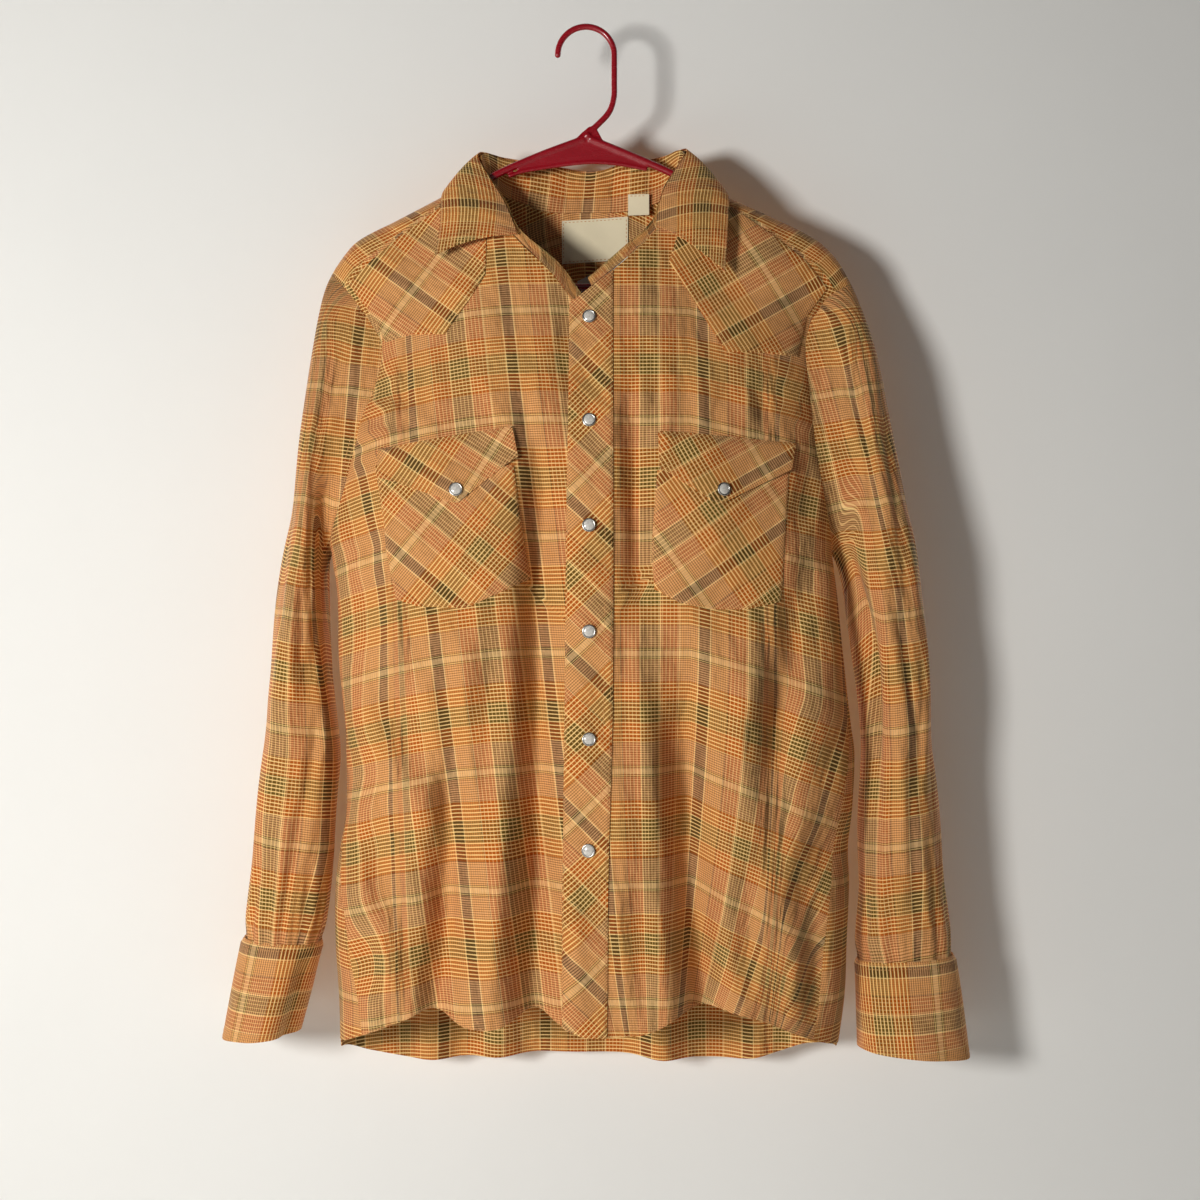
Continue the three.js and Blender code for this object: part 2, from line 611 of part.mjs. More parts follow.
// The outer edge of the fronts: the armhole, then the side seam
function sideAngle(z, hand) {
  return z > UNDERARM_Z ? armholeAngle(z) : radians(read(SIDE_SEAM, 'z', z, hand));
}

// The left front passes under the placket
function underlap(x, z) {
  return UNDERLAP_DEPTH * smooth((x - placketLeft(z) + UNDERLAP_EASE) / UNDERLAP_EASE);
}

const frontLeft = () => bodyPanel({
  from: (z) => -sideAngle(z, 'left'),
  to: (z) => angleAt(placketLeft(z) + UNDERLAP_WIDTH, z, -1),
  top: frontTop(NECKLINE_LEFT),
  bottom: frontHem,
  columns: 20,
  rows: 24,
  sink: underlap,
  edges: ['top', 'sides'],
});

const frontRight = () => bodyPanel({
  from: (z) => angleAt(placketLeft(z), z, -1),
  to: (z) => sideAngle(z, 'right'),
  top: frontTop(NECKLINE_RIGHT),
  bottom: frontHem,
  columns: 20,
  rows: 24,
  edges: ['top', 'sides'],
});

const backBody = () => bodyPanel({
  from: (z) => Math.PI * 2 - sideAngle(z, 'left') - backTuck(z),
  to: (z) => sideAngle(z, 'right') + backTuck(z),
  top: (x) => read(BACK_YOKE_HEM, 'x', x, 'z') - YOKE_HEM_GAP,
  bottom: (x, angle) => (Math.cos(angle) > 0 ? frontHem(x) : read(BACK_HEM, 'x', x, 'z')),
  columns: 29,
  rows: 18,
  edges: ['top', 'sides'],
});

// Above the underarm the back stops at its own side of the armhole
function backTuck(z) {
  return z > UNDERARM_Z ? Math.PI - 2 * armholeAngle(z) : 0;
}

// The neckline behind, as a run over the shoulder, and the shoulder seams outside it
function yokeTopRun(x) {
  const inNeck = 1 - (Math.abs(x) / NECK_HALF_WIDTH) ** 2;
  return inNeck > 0 ? BACK_NECK_RUN * inNeck ** 0.8 : shoulderSeamRun(x);
}

// The back yoke runs from the shoulder seams in front, over the ridge, to its pointed hem
function backYoke() {
  const wingColumns = 7;
  const neckColumns = 13;
  const bands = [3, 3, 6];
  const rows = bands.reduce((sum, band) => sum + band, 1);
  const ridgeBand = 22;
  const bottomRun = (x) => runOf(ridge(x) - read(BACK_YOKE_HEM, 'x', x, 'z'));
  const armholeX = (run, hand) => {
    let x = hand * 205;
    for (let i = 0; i < 60; i += 1) {
      const edge = read(OUTLINE, 'z', ridge(x) - dropOf(run), hand < 0 ? 'left' : 'right');
      x = lerp(x, edge, 0.3);
    }
    return x;
  };
  const tips = [armholeX(0, -1), armholeX(0, 1)];
  const wing = (tip, hand) => range(wingColumns).map((i) => (
    lerp(tip, hand * (NECK_HALF_WIDTH + 1), share(i, wingColumns))
  ));
  const neck = range(neckColumns).map((i) => (
    (NECK_HALF_WIDTH - 1) * Math.sin(lerp(-Math.PI / 2, Math.PI / 2, share(i, neckColumns)))
  ));
  const places = [...wing(tips[0], -1), ...neck, ...wing(tips[1], 1).reverse()];
  const points = range(rows).map(() => []);
  const normals = range(rows).map(() => []);
  places.forEach((place, j) => {
    const s = (place - tips[0]) / (tips[1] - tips[0]);
    const placeOf = (run) => lerp(armholeX(run, -1), armholeX(run, 1), s);
    const settle = (line) => {
      let run = line(place);
      for (let i = 0; i < 24; i += 1) run = lerp(run, line(placeOf(run)), 0.3);
      return run;
    };
    const [first, last] = [settle(yokeTopRun), settle(bottomRun)];
    const overRidge = Math.max(first + 6, 0);
    const knots = [first, overRidge, overRidge + ridgeBand, last];
    const runs = bands.flatMap((band, k) => range(band).map((i) => lerp(knots[k], knots[k + 1], i / band)));
    [...runs, last].forEach((run, i) => {
      const x = placeOf(run);
      const outward = new THREE.Vector3(0, Math.sin(clamp(run / SHOULDER_ROUND, -1.5, 1.5)), 1);
      points[i][j] = shoulderPoint(x, run);
      normals[i][j] = normalOf(shoulderPoint, x, run, 0.5, 0.5, outward);
    });
  });
  return wall(trimEdges(points, ['top', 'bottom', 'sides']), normals);
}

// The placket lies on the right front from the neckline to the hem
function frontPlacket() {
  const columns = 4;
  const rows = 28;
  const points = [];
  const normals = [];
  const outward = new THREE.Vector3(0, -1, 0);
  const edgeAt = (s, z) => lerp(placketLeft(z), placketRight(z), s);
  const heightOf = (s, line) => {
    let z = line(edgeAt(s, -400));
    for (let i = 0; i < 12; i += 1) z = line(edgeAt(s, z));
    return z;
  };
  range(rows).forEach((i) => {
    points.push([]);
    normals.push([]);
    range(columns).forEach((j) => {
      const s = share(j, columns);
      const top = heightOf(s, (x) => read(NECKLINE_RIGHT, 'x', x, 'z'));
      const z = lerp(top, heightOf(s, frontHem), share(i, rows));
      const angle = angleAt(edgeAt(s, z), z, -1);
      points[i].push(bodyPoint(angle, z));
      normals[i].push(normalOf(bodyPoint, angle, z, 0.01, 0.5, outward));
    });
  });
  return wall(trimEdges(points, ['top']), normals, { lift: CLOTH + LAYER_GAP });
}

// Sleeves and cuffs

const RING_COLUMNS = ['outerX', 'outerZ', 'innerX', 'innerZ', 'front', 'back'];

// One ring of a sleeve at a place in its table, turned from the outer point by way of the front
function ringPoint(table, place, turn) {
  const rows = table.map((row, index) => ({ ...row, index }));
  const ring = Object.fromEntries(RING_COLUMNS.map((name) => [name, read(rows, 'index', place, name)]));
  const out = (1 + Math.cos(turn)) / 2;
  const deep = Math.sin(turn) > 0 ? ring.front : ring.back;
  return new THREE.Vector3(
    lerp(ring.innerX, ring.outerX, out),
    deep * Math.abs(Math.sin(turn)) ** 0.9,
    lerp(ring.innerZ, ring.outerZ, out),
  );
}

// The armhole seam on the body, turned the same way as the sleeve's rings
function armholePoint(hand, turn) {
  const outline = hand < 0 ? 'left' : 'right';
  let tip = -212;
  for (let i = 0; i < 40; i += 1) tip = lerp(tip, ridge(read(OUTLINE, 'z', tip, outline)), 0.3);
  const z = lerp(UNDERARM_Z, tip, (1 + Math.cos(turn)) / 2);
  const angle = Math.sin(turn) >= 0 ? armholeAngle(z) : Math.PI - armholeAngle(z);
  return bodyPoint(hand * angle, z);
}

function sleeve(table, folds, hand) {
  const turns = 16;
  const rows = 20;
  const blendRows = 2.2;
  const points = range(rows).map((i) => {
    const place = share(i, rows) ** 0.9 * (table.length - 1);
    return range(turns).map((j) => {
      const turn = j / turns * Math.PI * 2;
      const point = ringPoint(table, place, turn);
      const hold = clamp(1 - place / blendRows, 0, 1) ** 2;
      point.lerp(armholePoint(hand, turn), hold);
      const centre = ringPoint(table, place, 0).lerp(ringPoint(table, place, Math.PI), 0.5);
      const inwards = centre.sub(point).normalize();
      return point.addScaledVector(inwards, sleeveFold(folds, place, THREE.MathUtils.radToDeg(turn)));
    });
  });
  const outwardAt = (point, i) => {
    const middle = points[i].reduce((sum, p) => sum.add(p), new THREE.Vector3()).divideScalar(turns);
    return point.clone().sub(middle);
  };
  trimEdges(points, ['top'], ARMHOLE_TRIM);
  return wall(trimEdges(points, ['bottom']), gridNormals(points, true, outwardAt), { closed: true });
}

function sleeveFold(folds, place, turn) {
  return folds.reduce((sum, fold) => {
    const run = (place - fold.start) / (fold.end - fold.start);
    if (run <= 0 || run >= 1) return sum;
    const line = lerp(fold.turnTop, fold.turnBottom, run);
    const swing = Math.abs(((turn - line + 540) % 360) - 180);
    return sum + fold.depth * Math.sin(Math.PI * run) * Math.exp(-((swing / fold.width) ** 2));
  }, 0);
}

function cuff(table) {
  const turns = 16;
  const rows = 4;
  const points = range(rows).map((i) => (
    range(turns).map((j) => ringPoint(table, share(i, rows) * (table.length - 1), j / turns * Math.PI * 2))
  ));
  const outwardAt = (point, i) => {
    const middle = points[i].reduce((sum, p) => sum.add(p), new THREE.Vector3()).divideScalar(turns);
    return point.clone().sub(middle);
  };
  return wall(trimEdges(points, ['top']), gridNormals(points, true, outwardAt), { closed: true });
}

// The collar

// A smooth line through one kind of point of the collar's table, at a share of its rows
function collarLine(table, names, place) {
  const rows = table.map((row, index) => ({ ...row, index }));
  return new THREE.Vector3(...names.map((name) => read(rows, 'index', place, name)));
}

function collarStand() {
  const columns = 33;
  const rows = 3;
  const seams = COLLAR.map((row) => {
    const behind = shoulderPoint(row.seamX, yokeTopRun(row.seamX));
    const point = row.side > 0 ? behind : bodyPoint(angleAt(row.seamX, row.seamZ, row.side), row.seamZ);
    const under = row.side < 0 && row.seamX < 0 ? underlap(row.seamX, row.seamZ) : 0;
    return { ...row, seamX: point.x, seamY: point.y + under, seamZ: point.z + STAND_SEAM_RISE };
  });
  const points = range(rows).map((i) => range(columns).map((j) => {
    const place = share(j, columns) * (COLLAR.length - 1);
    const seam = collarLine(seams, ['seamX', 'seamY', 'seamZ'], place);
    return seam.lerp(collarLine(seams, ['rollX', 'rollY', 'rollZ'], place), share(i, rows));
  }));
  const neckAxis = new THREE.Vector3(0, -8, 0);
  const outwardAt = (point) => new THREE.Vector3(point.x, point.y, 0).sub(neckAxis);
  return wall(points, gridNormals(points, false, outwardAt));
}

function collarFall() {
  const columns = 31;
  const rows = 4;
  const points = range(rows).map((i) => range(columns).map((j) => {
    const place = share(j, columns) * (COLLAR_FALL.length - 1);
    const rollPoint = collarLine(COLLAR_FALL, ['rollX', 'rollY', 'rollZ'], place);
    const edgePoint = collarLine(COLLAR_FALL, ['edgeX', 'edgeY', 'edgeZ'], place);
    const [swell] = collarLine(COLLAR_FALL, ['swell'], place).toArray();
    const outwards = edgePoint.clone().sub(new THREE.Vector3(0, 0, edgePoint.z)).normalize();
    const middle = rollPoint.clone().lerp(edgePoint, 0.45).addScaledVector(outwards, swell * 0.5);
    middle.y -= swell * (edgePoint.y < 0 ? 0.9 : -0.5);
    middle.z += swell * 0.9;
    return new THREE.QuadraticBezierCurve3(rollPoint, middle, edgePoint).getPoint(share(i, rows));
  }));
  const outwardAt = (point) => new THREE.Vector3(point.x, point.y * 2, 60);
  return wall(points, gridNormals(points, false, outwardAt));
}

// Labels inside the neck, on the inner face of the back yoke or the stand

function innerPatch(corners, depth) {
  const points = corners.map((row) => row.map(([x, z]) => bodyPoint(angleAt(x, z, 1), z)));
  const normals = points.map((row) => row.map(() => new THREE.Vector3(0, 1, 0)));
  points.flat().forEach((point) => { point.y -= depth; });
  return wall(points, normals, { thickness: 1 });
}

function neckLabel() {
  const { left, right, top, bottom } = NECK_LABEL;
  return innerPatch([0, 0.33, 0.67, 1].map((v) => [0, 0.25, 0.5, 0.75, 1].map((u) => (
    [lerp(left, right, u), lerp(top, bottom, v) + 3 * u]
  ))), CLOTH + 1.4);
}

function careStrip() {
  const { startX, startZ, endX, endZ, width } = CARE_STRIP;
  return innerPatch([0, 1].map((v) => [0, 0.25, 0.5, 0.75, 1].map((u) => (
    [lerp(startX, endX, u), lerp(startZ, endZ, u) - v * width]
  ))), CLOTH + 3.2);
}

function sizeTag() {
  const { left, right, top, bottom } = SIZE_TAG;
  const points = [top, (top + bottom) / 2, bottom].map((z) => [left, (left + right) / 2, right].map((x) => (
    new THREE.Vector3(x, 21.5 - 0.12 * (x - left), z)
  )));
  const normals = points.map((row) => row.map(() => new THREE.Vector3(0, 1, 0)));
  return wall(points, normals, { thickness: 1 });
}

// Snaps: a shallow pearl dome in a rolled ring, turned to face along the given direction

function snapGeometry() {
  const { radius, height, rim } = SNAP;
  const profile = [
    [0, 0], [radius * 0.92, 0], [radius, height * 0.3], [radius * 0.94, height * 0.8],
    [radius - rim, height * 0.75], [0, height],
  ].map(([r, h]) => new THREE.Vector2(r, h));
  const lathe = new THREE.LatheGeometry(profile, 8);
  lathe.rotateX(Math.PI / 2);
  return lathe;
}

function snap(name, place, facing) {
  const mesh = new THREE.Mesh(snapGeometry(), MATERIALS.snap);
  mesh.name = name;
  mesh.position.copy(place);
  mesh.quaternion.setFromUnitVectors(new THREE.Vector3(0, 0, 1), facing);
  return mesh;
}

function frontSnap(name, x, z, layers) {
  const angle = angleAt(x, z, -1);
  const facing = normalOf(bodyPoint, angle, z, 0.01, 0.5, new THREE.Vector3(0, -1, 0));
  const clearance = layers * (CLOTH + LAYER_GAP) + SNAP_SEAT;
  return snap(name, bodyPoint(angle, z).addScaledVector(facing, clearance), facing);
}

function cuffSnap(name, table, step) {
  const place = step * (table.length - 1);
  const turn = radians(CUFF_SNAP_TURN);
  const point = ringPoint(table, place, turn);
  const around = ringPoint(table, place, turn + 0.05).sub(ringPoint(table, place, turn - 0.05));
  const along = ringPoint(table, place + 0.05, turn).sub(ringPoint(table, place - 0.05, turn));
  const facing = around.cross(along).normalize();
  const centre = ringPoint(table, place, 0).lerp(ringPoint(table, place, Math.PI), 0.5);
  if (facing.dot(point.clone().sub(centre)) < 0) facing.negate();
  return snap(name, point.addScaledVector(facing, SNAP_SEAT), facing);
}
const SNAP_SEAT = 0.6;

// Hanger

function rod(path, radius, steps) {
  const outline = new THREE.Shape();
  outline.absarc(0, 0, radius, 0, Math.PI * 2);
  return new THREE.ExtrudeGeometry(outline, {
    steps, curveSegments: 4, bevelEnabled: false, extrudePath: path,
  });
}

const flatPath = (points) => new THREE.CatmullRomCurve3(points.map(([x, z]) => new THREE.Vector3(x, 0, z)));

function hangerHook() {
  const top = HOOK_RADIUS - HOOK_ROD_RADIUS;
  const arc = [180, 162, 135, 108, 90, 72, 45, 18, 0].map(radians).map((angle) => (
    [HOOK_RADIUS * Math.cos(angle), HOOK_RADIUS * Math.sin(angle) - top]
  ));
  const stem = [[HOOK_RADIUS, -44], [HOOK_RADIUS, -62], [19.5, -72], [10, -80.5], [1.2, -86]];
  return rod(flatPath([...arc, ...stem]), HOOK_ROD_RADIUS, 24);
}

function hangerWeb() {
  const armSlope = 0.405;
  const upper = (x) => -92 - Math.abs(x - 0.8) * armSlope - (ROD_RADIUS + HANGER_GAP) * 1.16;
  const outline = new THREE.Shape();
  outline.moveTo(WEB_LOWER_EDGE[0][0], WEB_LOWER_EDGE[0][1]);
  WEB_LOWER_EDGE.slice(1).forEach(([x, z]) => outline.lineTo(x, z));
  [44, 22, 0.8, -22, -44].forEach((x) => outline.lineTo(x, upper(x)));
  outline.closePath();
  const plate = new THREE.ExtrudeGeometry(outline, { depth: WEB_THICKNESS, bevelEnabled: false });
  plate.rotateX(Math.PI / 2);
  plate.translate(0, WEB_THICKNESS / 2, 0);
  return plate;
}

const hangerBar = () => rod(
  flatPath([[BAR_ENDS.left + BAR_GAP, BAR_Z], [0, BAR_Z], [BAR_ENDS.right - BAR_GAP, BAR_Z]]),
  ROD_RADIUS,
  4,
);

// Materials

function finish(color, roughness, metalness = 0) {
  return new THREE.MeshStandardMaterial({ color, roughness, metalness });
}
const MATERIALS = {
  plaid: finish(0xa8793f, 0.9),
  label: finish(0xe4dccb, 0.8),
  snap: finish(0xd9d5cf, 0.3),
  hanger: finish(0x9a0f22, 0.25),
};

// The whole shirt

const shirt = new THREE.Group();

function add(name, geometry, material) {
  const mesh = new THREE.Mesh(geometry, material);
  mesh.name = name;
  shirt.add(mesh);
}

add('front_left', frontLeft(), MATERIALS.plaid);
add('front_right', frontRight(), MATERIALS.plaid);
add('back_body', backBody(), MATERIALS.plaid);
add('back_yoke', backYoke(), MATERIALS.plaid);
add('front_placket', frontPlacket(), MATERIALS.plaid);
const seamEdges = ['top'];
const onFront = (layer, columns, rows, edges) => ({ layer, columns, rows, edges });
add('front_yoke_left', frontPatch(FRONT_YOKE_LEFT, onFront(PATCH_LIFT.yoke, 11, 9, seamEdges)), MATERIALS.plaid);
add('front_yoke_right', frontPatch(FRONT_YOKE_RIGHT, onFront(PATCH_LIFT.yoke, 11, 9, seamEdges)), MATERIALS.plaid);
add('pocket_left', frontPatch(POCKET_LEFT, onFront(PATCH_LIFT.pocket, 12, 9)), MATERIALS.plaid);
add('pocket_right', frontPatch(POCKET_RIGHT, onFront(PATCH_LIFT.pocket, 12, 9)), MATERIALS.plaid);
add('pocket_flap_left', frontPatch(FLAP_LEFT, onFront(PATCH_LIFT.flap, 13, 6)), MATERIALS.plaid);
add('pocket_flap_right', frontPatch(FLAP_RIGHT, onFront(PATCH_LIFT.flap, 13, 6)), MATERIALS.plaid);
add('collar_stand', collarStand(), MATERIALS.plaid);
add('collar_fall', collarFall(), MATERIALS.plaid);
add('sleeve_left', sleeve(SLEEVE_LEFT, SLEEVE_FOLDS_LEFT, -1), MATERIALS.plaid);
add('sleeve_right', sleeve(SLEEVE_RIGHT, SLEEVE_FOLDS_RIGHT, 1), MATERIALS.plaid);
add('cuff_left', cuff(CUFF_LEFT), MATERIALS.plaid);
add('cuff_right', cuff(CUFF_RIGHT), MATERIALS.plaid);
add('neck_label', neckLabel(), MATERIALS.label);
add('care_strip', careStrip(), MATERIALS.label);
add('size_tag', sizeTag(), MATERIALS.label);
add('hanger_hook', hangerHook(), MATERIALS.hanger);
add('hanger_arm_left', rod(flatPath(ARM_LEFT), ROD_RADIUS, 18), MATERIALS.hanger);
add('hanger_arm_right', rod(flatPath(ARM_RIGHT), ROD_RADIUS, 18), MATERIALS.hanger);
add('hanger_bar', hangerBar(), MATERIALS.hanger);
add('hanger_web', hangerWeb(), MATERIALS.hanger);
FRONT_SNAP_HEIGHTS.forEach((z, i) => {
  shirt.add(frontSnap(`front_snap_${i + 1}`, FRONT_SNAP_X, z, 1));
});
shirt.add(frontSnap('pocket_snap_left', POCKET_SNAPS.left.x, POCKET_SNAPS.left.z, 2));
shirt.add(frontSnap('pocket_snap_right', POCKET_SNAPS.right.x, POCKET_SNAPS.right.z, 2));
CUFF_SNAP_STEPS.forEach((step, i) => {
  shirt.add(cuffSnap(`cuff_snap_left_${i + 1}`, CUFF_LEFT, step));
  shirt.add(cuffSnap(`cuff_snap_right_${i + 1}`, CUFF_RIGHT, step));
});

export default shirt;
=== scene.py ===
import math

import bpy
import numpy as np
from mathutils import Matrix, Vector


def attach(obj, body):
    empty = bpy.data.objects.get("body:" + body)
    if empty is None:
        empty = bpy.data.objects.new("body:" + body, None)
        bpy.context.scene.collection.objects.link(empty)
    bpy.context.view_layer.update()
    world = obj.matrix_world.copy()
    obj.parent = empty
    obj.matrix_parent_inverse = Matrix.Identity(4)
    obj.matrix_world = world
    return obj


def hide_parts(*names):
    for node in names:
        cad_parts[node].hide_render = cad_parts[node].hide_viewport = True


bl_info = {
    "name": "Western snap shirt",
    "version": (1, 0, 0),
    "blender": (4, 5, 0),
    "location": "View3D > Sidebar > Shirt",
    "description": "Builds a plaid snap shirt on its hanger, piece by piece",
    "category": "Add Mesh",
}

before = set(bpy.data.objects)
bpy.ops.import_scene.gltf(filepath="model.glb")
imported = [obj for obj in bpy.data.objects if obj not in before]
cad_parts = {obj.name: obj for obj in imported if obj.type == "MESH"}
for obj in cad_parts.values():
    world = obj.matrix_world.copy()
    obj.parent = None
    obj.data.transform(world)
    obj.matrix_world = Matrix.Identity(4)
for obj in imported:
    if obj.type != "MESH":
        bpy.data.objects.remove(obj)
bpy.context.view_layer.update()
MM = 0.001

# ---------------------------------------------------------------- tables of the shirt's form


class Table:
    """Rows of numbers that are read with a smooth curve between them. The first column is the key."""

    def __init__(self, names, *rows):
        self.names = names.split()
        data = np.array(rows, float)
        self.data = data[::-1] if data[0, 0] > data[-1, 0] else data

    def read(self, at, name):
        keys, values = self.data[:, 0], self.data[:, self.names.index(name)]
        at = np.clip(at, keys[0], keys[-1])
        i = np.clip(np.searchsorted(keys, at, side="right") - 1, 0, len(keys) - 2)
        before, after = np.maximum(i - 1, 0), np.minimum(i + 2, len(keys) - 1)
        span = keys[i + 1] - keys[i]
        t = (at - keys[i]) / span
        start = (values[i + 1] - values[before]) / (keys[i + 1] - keys[before]) * span
        end = (values[after] - values[i]) / (keys[after] - keys[i]) * span
        blend = t * t * (3 - 2 * t)
        return (
            values[i]
            + (values[i + 1] - values[i]) * blend
            + start * t * (1 - t) ** 2
            - end * t * t * (1 - t)
        )


def numbered(names, *rows):
    """A table whose key is the row's own number."""
    return Table("row " + names, *[(i, *row) for i, row in enumerate(rows)])


OUTLINE = Table(
    "z left right",
    (-100, -232, 238), (-200, -228, 238), (-209, -216, 233), (-220, -204.5, 218),
    (-228, -198, 205), (-240, -189, 196.5), (-250, -182, 189.5), (-272, -171, 184.5),
    (-307, -176.6, 186.9), (-332, -186.7, 189), (-356, -192, 191.4), (-390, -200.5, 197),
    (-430, -212.5, 204.5), (-445, -214, 207), (-481, -209, 211.5), (-537, -207.7, 217),
    (-589, -202.3, 223), (-613, -201.5, 226), (-660, -201.3, 224), (-691, -206.4, 220.5),
    (-722, -210.5, 221.5), (-772, -210.5, 219.5), (-819, -207.7, 217.5), (-890, -206, 207),
)
FULLNESS = Table(
    "z front back middle",
    (-100, 60, 46, 0), (-228, 63, 48, 0), (-330, 67, 50, -7),
    (-445, 69, 51, -11), (-700, 71, 53, -12), (-890, 73, 55, -10),
)
SHOULDER = Table(
    "x z",
    (-232, -240), (-218.5, -212.5), (-209, -197), (-195, -180.5), (-162, -163), (-117, -139.5),
    (-88, -123), (0, -90), (88, -123.5), (116, -140.5), (153.5, -157.5), (195.5, -178.5),
    (213, -195), (222, -210), (238, -240),
)
PLACKET = Table(
    "z left right", (-230, -13, 22.4), (-565, -16, 22), (-700, -17.4, 19), (-890, -18.5, 17)
)
NECKLINE_LEFT = Table(
    "x z", (-88, -126.5), (-82, -148), (-72, -166), (-56, -186), (-29, -213.5), (-7, -242), (14, -262)
)
NECKLINE_RIGHT = Table(
    "x z", (-16, -243), (4.5, -227), (34, -202), (58, -177), (74, -158), (83, -146), (88, -126.5)
)
FRONT_HEM = Table(
    "x z",
    (-215, -858), (-185, -842), (-150, -827), (-128, -819), (-95, -829), (-70, -829), (-42, -818),
    (-18, -829), (0, -836), (25, -836), (50, -833), (78, -820), (105, -817), (140, -824),
    (168, -836), (190, -846), (225, -860),
)
BACK_HEM = Table(
    "x z",
    (-220, -856), (-205, -862), (-185, -872), (-140, -882), (-60, -879), (30, -880),
    (120, -883), (165, -876), (190, -866), (225, -858),
)
BACK_YOKE_HEM = Table(
    "x z",
    (-190, -282), (-95, -290), (-48, -304), (2, -330), (52, -304), (100, -290), (200, -282),
)
SIDE_SEAM = Table(
    "z left right",
    (-445, 90, 90), (-520, 90, 88), (-600, 89, 76), (-680, 81, 68), (-760, 69, 63), (-890, 59, 59),
)
RING = "outer_x outer_z inner_x inner_z front back"
SLEEVE_LEFT = numbered(
    RING,
    (-216, -209, -214, -445, -24, 24), (-225, -232, -218.5, -454, -32, 32),
    (-232, -275, -220, -464, -38, 38), (-240, -335, -220.5, -478, -43, 43),
    (-247, -400, -220, -497, -46, 46), (-256, -447, -218.5, -520, -46, 46),
    (-263, -503, -216, -550, -45, 45), (-269, -560, -212, -590, -43, 43),
    (-271, -605, -209.5, -625, -42, 42), (-280, -683, -214, -695, -39, 39),
    (-289, -766, -223, -771, -34, 33),
)
SLEEVE_RIGHT = numbered(
    RING,
    (225, -216, 207, -445, -24, 24), (234.5, -238, 213, -455, -32, 32),
    (246, -277, 216.5, -466, -37, 37), (258, -337, 219.5, -480, -40, 41),
    (270, -399, 222.5, -499, -42, 43), (281.5, -443, 226, -522, -42, 43),
    (288, -500, 229.5, -552, -41, 42), (292, -560, 232.5, -590, -40, 41),
    (294, -610, 234, -625, -39, 40), (299, -685, 231, -700, -37, 38),
    (311, -781, 229, -786, -33, 33),
)
CUFF_LEFT = numbered(
    RING,
    (-291, -768.5, -222, -773.5, -34, 33), (-299, -810, -231, -812, -35, 32),
    (-308, -854, -242, -850, -35, 31),
)
CUFF_RIGHT = numbered(
    RING,
    (313, -783.5, 228, -788.5, -34, 33), (319, -826, 228.5, -824, -34, 32),
    (325.5, -871, 230.5, -863, -34, 31),
)
# The seam on the neckline (side -1 in front, 1 behind) and the roll line at the top of the stand
COLLAR_SEAM = numbered(
    "seam_x seam_z side roll_x roll_y roll_z",
    (-9, -240, -1, -3, -40, -231), (-29, -213.5, -1, -23, -36, -204),
    (-56, -186, -1, -54, -34, -177), (-72, -166, -1, -67, -22, -150),
    (-87, -123, -1, -90, 3, -107), (-70, -138, 1, -67, 20, -105),
    (-35, -147, 1, -33, 27, -109), (1, -151, 1, 4, 29, -114), (36, -147, 1, 34, 27, -108),
    (70, -138, 1, 64, 19, -104), (87, -123, -1, 84, 3, -103), (74, -158, -1, 66, -22, -138),
    (58, -177, -1, 55, -34, -170), (34, -202, -1, 30, -38, -193), (5, -227, -1, 2, -46, -219),
)
COLLAR_FALL = numbered(
    "roll_x roll_y roll_z edge_x edge_y edge_z swell",
    (-56.5, -39, -181, -124, -43, -199, 15), (-68, -25, -152, -121, -33, -171, 13),
    (-92, 2, -105.5, -119, -8, -137, 9), (-69, 23, -103, -94, 34, -148, 10),
    (-34, 30.5, -107, -46, 43, -161, 8), (4, 33, -112, 3, 48, -165, 8),
    (35, 30.5, -106, 47, 43, -160, 8), (66, 22, -102, 93, 34, -148, 10),
    (86, 2, -101.5, 118, -8, -138, 9), (66, -25, -140, 118, -35, -172, 13),
    (57.5, -39, -174, 115, -46, -214, 15),
)

# Patches on the front, each as its top, bottom, left and right edge
FRONT_YOKE_LEFT = (
    [(-200, -218), (-182, -201), (-156, -178), (-120, -153), (-92, -132)],
    [(-167, -269), (-143, -264), (-116, -265.5), (-98, -240), (-83, -215)],
    [(-200, -218), (-179, -246), (-167, -269)],
    [(-92, -132), (-82, -160), (-83, -215)],
)
FRONT_YOKE_RIGHT = (
    [(92, -132), (124, -155), (158, -179), (184, -199), (203, -222)],
    [(69, -204), (92, -242), (115, -281), (148, -280.5), (176, -282)],
    [(92, -132), (84, -156), (69, -204)],
    [(203, -222), (185, -246), (176, -282)],
)
POCKET_LEFT = (
    [(-172, -374), (-58, -376)],
    [(-153, -484), (-133, -490), (-96, -491), (-68, -478), (-45, -467)],
    [(-172, -374), (-163, -424), (-161, -445), (-153, -484)],
    [(-58, -376), (-52, -425), (-45, -467)],
)
POCKET_RIGHT = (
    [(58, -380), (166, -378)],
    [(56, -476), (77, -487), (103, -492), (131, -492), (158, -486)],
    [(58, -380), (54, -446), (56, -476)],
    [(166, -378), (160, -470), (158, -486)],
)
FLAP_LEFT = (
    [(-170, -361), (-59, -344)],
    [(-167, -385), (-103, -407), (-55, -369)],
    [(-170, -361), (-167, -385)],
    [(-59, -344), (-55, -369)],
)
FLAP_RIGHT = (
    [(60, -348), (172, -356)],
    [(60, -378), (107, -408), (167, -379)],
    [(60, -348), (60, -378)],
    [(172, -356), (167, -379)],
)
FRONT_SNAP_HEIGHTS = (-253, -339.5, -424.5, -509.5, -596, -685.5)
FRONT_SNAP_X = 3
POCKET_SNAPS = {"left": (-104, -396), "right": (110, -396)}
CUFF_SNAP_STEPS = (0.16, 0.5, 0.84)
CUFF_SNAP_TURN = math.radians(262)

